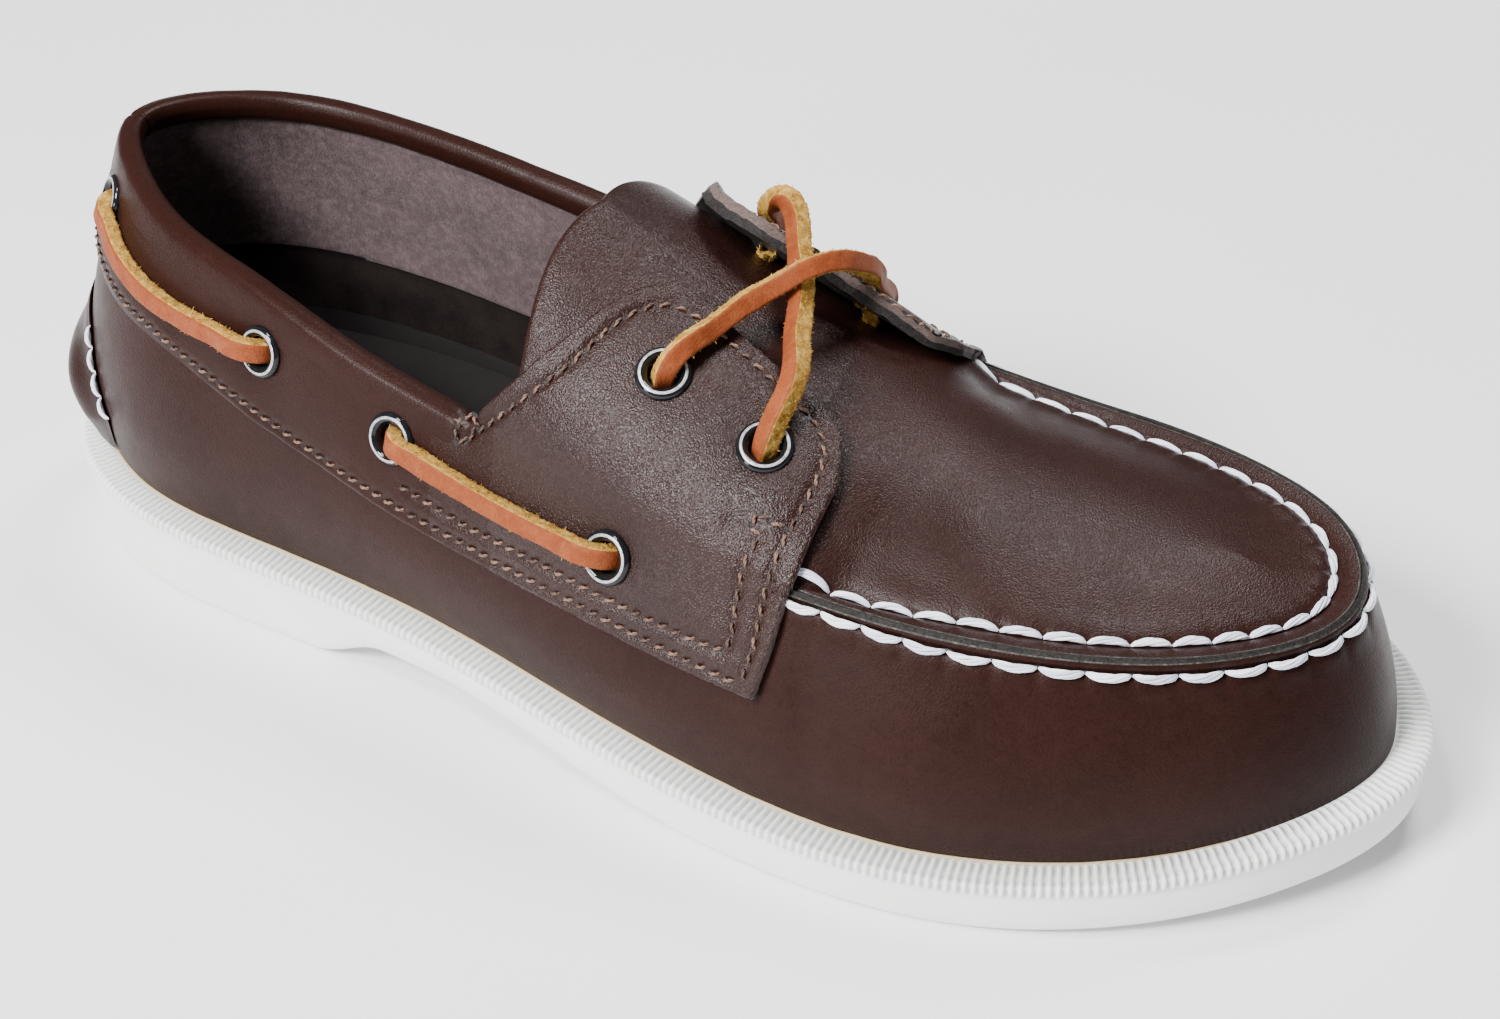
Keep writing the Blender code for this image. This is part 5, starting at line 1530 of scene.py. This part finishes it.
VIEW = np.array([0.476, -0.708, 0.522])      # towards the camera
RUN_A = [(169.2, -17.0, 83.5), (171.6, -10.0, 85.2), (175.2, -4.5, 87.1), (179.5, -0.5, 89.6), (181.7, 3.5, 89.4),
         (183.4, 8.3, 87.3), (184.1, 12.2, 84.4), (183.9, 15.3, 81.2), (183.2, 17.4, 77.6)]
RUN_B = [(188.0, -21.0, 79.9), (183.0, -11.0, 81.6), (179.4, -3.5, 83.3), (175.2, 4.0, 87.1), (171.6, 9.5, 88.6),
         (168.0, 14.5, 90.7), (164.3, 17.5, 91.0), (161.1, 19.0, 89.3), (158.6, 20.5, 86.0)]


def crossing():
    out = []
    for name, i0, mids, i1, seed, tilt in (("lace_cross_a", 4, RUN_A, 5, 90, 0.0), ("lace_cross_b", 5, RUN_B, 4, 95, 1.0)):
        (c0, n0), (c1, n1) = eyelet_seat(-1, i0), eyelet_seat(1, i1)
        m = np.array(mids, float)
        d0 = unit(m[0] - c0)
        d1 = unit(m[-1] - c1)
        d0, d1 = unit(d0 - d0 @ n0 * n0), unit(d1 - d1 @ n1 * n1)
        pts = np.r_[[c0 - n0 * 1.6 - d0 * 0.6, c0 + n0 * 1.0 + d0 * 0.5, c0 + n0 * 3.0 + d0 * 3.2], m,
                    [c1 + n1 * 1.2, c1 - n1 * 2.2]]
        tan = unit(np.gradient(pts, axis=0))
        side = unit(np.cross(VIEW, tan))
        side = side * (1 if side[len(side) // 3][2] > 0 else -1)
        for j in range(1, len(side)):
            if side[j] @ side[j - 1] < 0:
                side[j] = -side[j]
        if tilt:                       # this run shows its grain side to the left
            th = np.full(len(pts), 0.77)
            th *= 1 if side[len(side) // 3] @ np.array([0.83, 0.56, 0.0]) < 0 else -1
        else:                          # this one turns: a cut side above, then below
            th = np.interp(np.linspace(0, 1, len(pts)), [0, 0.4, 0.6, 0.85, 1], [-0.30, -0.20, 0.05, 0.65, 0.9])
        face = unit(VIEW * np.cos(th)[:, None] + side * np.sin(th)[:, None])
        out.append(lace(name, pts, face, seed, hw=1.75 if not tilt else 1.9, ht=1.8 if not tilt else 1.75))
    return out


def tails():
    """Short ends of the lace under the open medial flap, just inside the top eyelets."""
    c, n = eyelet_seat(1, 4)
    pts = np.array([c - n * 2.6, c - n * 3.6 + (0.8, -2.4, 0.3), (162.6, 14.6, 82.4), (163.6, 11.2, 83.6)])
    lace("lace_end_rear", pts, np.tile([0.1, 0.3, 0.9], (4, 1)), 111, hw=1.25, ht=1.45, fringe=200)
    c, n = eyelet_seat(1, 5)
    pts = np.array([c - n * 2.4, c - n * 3.0 + (0.3, -2.4, 0.1), (182.4, 16.2, 74.4), (181.6, 13.4, 75.4)])
    lace("lace_end_front", pts, np.tile([0.1, 0.3, 0.9], (4, 1)), 117, hw=1.1, ht=1.3, fringe=160)


# ---------------------------------------------------------------- heel patch
PATCH = [(0.03, 1.52), (0.17, 1.53), (0.22, 1.42), (0.28, 1.30), (0.35, 1.16), (0.385, 1.06), (0.41, 0.96),
         (0.435, 0.76), (0.45, 0.50), (0.455, 0.25)]      # place up the heel, half width in stations


def heel_patch():
    nu, nv = 80, 44
    pw, ph = zip(*PATCH)
    t = np.r_[0, np.cumsum(np.hypot(np.diff(pw) * 60, np.diff(ph) * 18))]
    v = np.linspace(0, t[-1], nv)
    wv, hv = np.interp(v, t, pw), np.interp(v, t, ph)
    u = np.linspace(-1, 1, nu)
    S, W = hv[:, None] * u[None], np.repeat(wv[:, None], nu, 1)
    P = skin(S.ravel() % (2 * N), W.ravel(), GAP).reshape(*S.shape, 3)
    Nn = skin_normal(S.ravel() % (2 * N), W.ravel()).reshape(P.shape)
    border = np.r_[P[:, 0], P[-1], P[::-1, -1]]
    d = near(P.reshape(-1, 3), resample(border, 0.5)).reshape(S.shape)
    e = 0.05 + 0.30 * ramp(W, 0.08, 0.22) + 0.5 * ramp(d, 0.0, 2.5) + 4.4 * ramp(d, 0.8, 10.5) * (0.30 + 0.70 * bell(W, 0.20, 0.12))
    e = e + 0.15 * fbm(P.reshape(-1, 3), 7, 66, 2).reshape(S.shape)
    V, F, flag = slab(P, Nn, e, np.zeros(S.shape), 3, 0.15)
    F = facing(V, F, (60, -4, 35))
    ob = piece("heel_patch_leather", V, F, [LEATHER_ROLL, DARK_EDGE_AND_GROOVE_SHADE], np.zeros(len(F)),
               attrs={"tint": np.full(len(V), 0.1)})
    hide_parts("heel_patch")
    rng = np.random.default_rng(8)
    heap = Heap()
    for sgn in (-1, 1):
        run = np.array([(0.405, 1.01), (0.385, 1.09), (0.35, 1.19), (0.28, 1.33), (0.22, 1.45), (0.185, 1.57)])
        line = spline(np.c_[run, run[:, 0] * 0], 80)[:, :2]
        full = skin((sgn * line[:, 1]) % (2 * N), line[:, 0], GAP + 0.45)
        nrm = skin_normal((sgn * line[:, 1]) % (2 * N), line[:, 0])
        along = np.r_[0, np.cumsum(np.linalg.norm(np.diff(full, axis=0), axis=1))]
        for i in range(4):
            at = np.linspace((i + 0.02) / 4, (i + 0.98) / 4, 11) * along[-1]
            p = np.c_[[np.interp(at, along, full[:, j]) for j in range(3)]].T
            nn = unit(np.c_[[np.interp(at, along, nrm[:, j]) for j in range(3)]].T)
            tan = unit(np.gradient(p, axis=0))
            side = np.cross(nn, tan)
            side = side * np.sign((side * (p - np.array([14.0, -2.0, 30.0]))).sum(1, keepdims=True)) * -1
            bundle(heap, p, nn, side, rng, width=0.62, rise=0.65, scallop=0.40)
    V, F, A = heap.out()
    piece("heel_patch_stitching", V, F, WHITE, attrs={"tone": A})


def back_seam():
    """Small stitches across the tuck where the rolled collar closes at the back."""
    rng = np.random.default_rng(5)
    heap = Heap()
    for j, down in enumerate((2.4, 4.0, 5.6)):
        t = np.linspace(-1, 1, 9)
        ss = (0.06 * t + 0.01 * (-1) ** j) % (2 * N)
        w = 1 - (down + 0.25 * t) / wall_height(ss)
        p = skin(ss, w, 1.72) + skin_normal(ss, w) * (0.28 * np.cos(t * pi / 2))[:, None]
        V, F = tube(p, [0.05, 0.19, 0.22, 0.23, 0.23, 0.23, 0.22, 0.19, 0.05], 6)
        heap.add(V, F, rng.uniform(0.4, 0.9))
    V, F, A = heap.out()
    piece("back_seam_stitches", V, F, TAN, attrs={"tone": A})


# =============================================================== build everything
upper = wall_piece()
plug = plug_tongue()
panels = {side: panel_piece(side) for side in (-1, 1)}
roll = roll_piece()
lining = lining_piece()
insole = insole_piece()
sole = sole_piece()
tread = tread_piece()
footbed_piece()
white_stitches()
for side in (-1, 1):
    brown_stitches(side)
    eyelet_pieces(side)
bars = {(side, a): side_bar(side, a, a + (1 if a == 0 else 1), sag)
        for side in (-1, 1) for a, sag in ((0, 0.055), (2, 0.03))}
cross = crossing()
tails()
heel_patch()
back_seam()

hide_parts("upper")
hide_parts("tongue")
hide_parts("eyestay_lateral")
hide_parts("eyestay_medial")
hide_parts("insole")
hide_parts("outsole")
for side, tag in ((-1, "lateral"), (1, "medial")):
    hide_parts("lace_rear_" + tag)
    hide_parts("lace_front_" + tag)
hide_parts("lace_crossing")

SLOTS = {"vamp": "upper_leather", "plug_and": "upper_leather", "panel_lateral": "upper_leather",
         "panel_medial": "upper_leather", "rolled": "upper_leather", "heel_patch_leather": "upper_leather",
         "outsole": "sole_rubber", "feather": "sole_rubber", "insole": "insole_lining",
         "lining": "insole_lining", "eyelet": "black_enamel", "lace": "rawhide"}
for ob in PIECES:
    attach(ob, "root")
    for key, name in SLOTS.items():
        if ob.name.startswith(key):
            break

# =============================================================== floor, light, camera
me = bpy.data.meshes.new("floor")
me.from_pydata([(-6, -6, 0), (6, -6, 0), (6, 6, 0), (-6, 6, 0)], [], [(0, 1, 2, 3)])
floor = bpy.data.objects.new("floor", me)
floor.data.materials.append(floor_mat())
bpy.context.scene.collection.objects.link(floor)

world = bpy.data.worlds.new("studio")
bpy.context.scene.world = world
world.use_nodes = True
bg = world.node_tree.nodes["Background"]
bg.inputs[0].default_value = (0.95, 0.97, 1.0, 1.0)
bg.inputs[1].default_value = 0.25


def area(name, loc, target, size, power, color=(1, 1, 1), size_y=None):
    li = bpy.data.lights.new(name, 'AREA')
    li.shape = 'RECTANGLE'
    li.size, li.size_y = size, size_y or size
    li.energy = power
    li.color = color
    ob = bpy.data.objects.new(name, li)
    ob.location = loc
    ob.rotation_euler = (Vector(target) - Vector(loc)).to_track_quat('-Z', 'Y').to_euler()
    bpy.context.scene.collection.objects.link(ob)
    return ob


area("key_side", (-0.27, -0.97, 1.05), (0, 0, 0.04), 0.45, 46.0, size_y=0.40)
area("low_side", (-0.50, -1.30, 0.42), (0, 0, 0.05), 0.30, 8.0, size_y=0.22)
area("high_side", (-0.16, -0.46, 1.42), (0, 0, 0.05), 0.30, 13.0)
area("top_back", (0.12, 0.66, 1.25), (0, 0, 0.04), 0.40, 17.0)

AZ, EL, ROLL = radians(34.216), radians(35.225), radians(-4.439)
C = np.array([407.21, -359.53, 338.09])
r0 = np.array([cos(AZ), sin(AZ), 0.0])
back = np.array([sin(AZ) * cos(EL), -cos(AZ) * cos(EL), sin(EL)])
up0 = np.cross(back, r0)
right = cos(ROLL) * r0 + sin(ROLL) * up0
upv = -sin(ROLL) * r0 + cos(ROLL) * up0
cam = bpy.data.cameras.new("camera")
cam.sensor_width = 36.0
cam.lens = 66.0
cam.clip_start = 0.01
cob = bpy.data.objects.new("camera", cam)
loc = (C - (X0, Y0, 0)) * MM
M = Matrix([[right[i], upv[i], back[i], loc[i]] for i in range(3)] + [[0, 0, 0, 1]])
cob.matrix_world = M
bpy.context.scene.collection.objects.link(cob)
bpy.context.scene.camera = cob
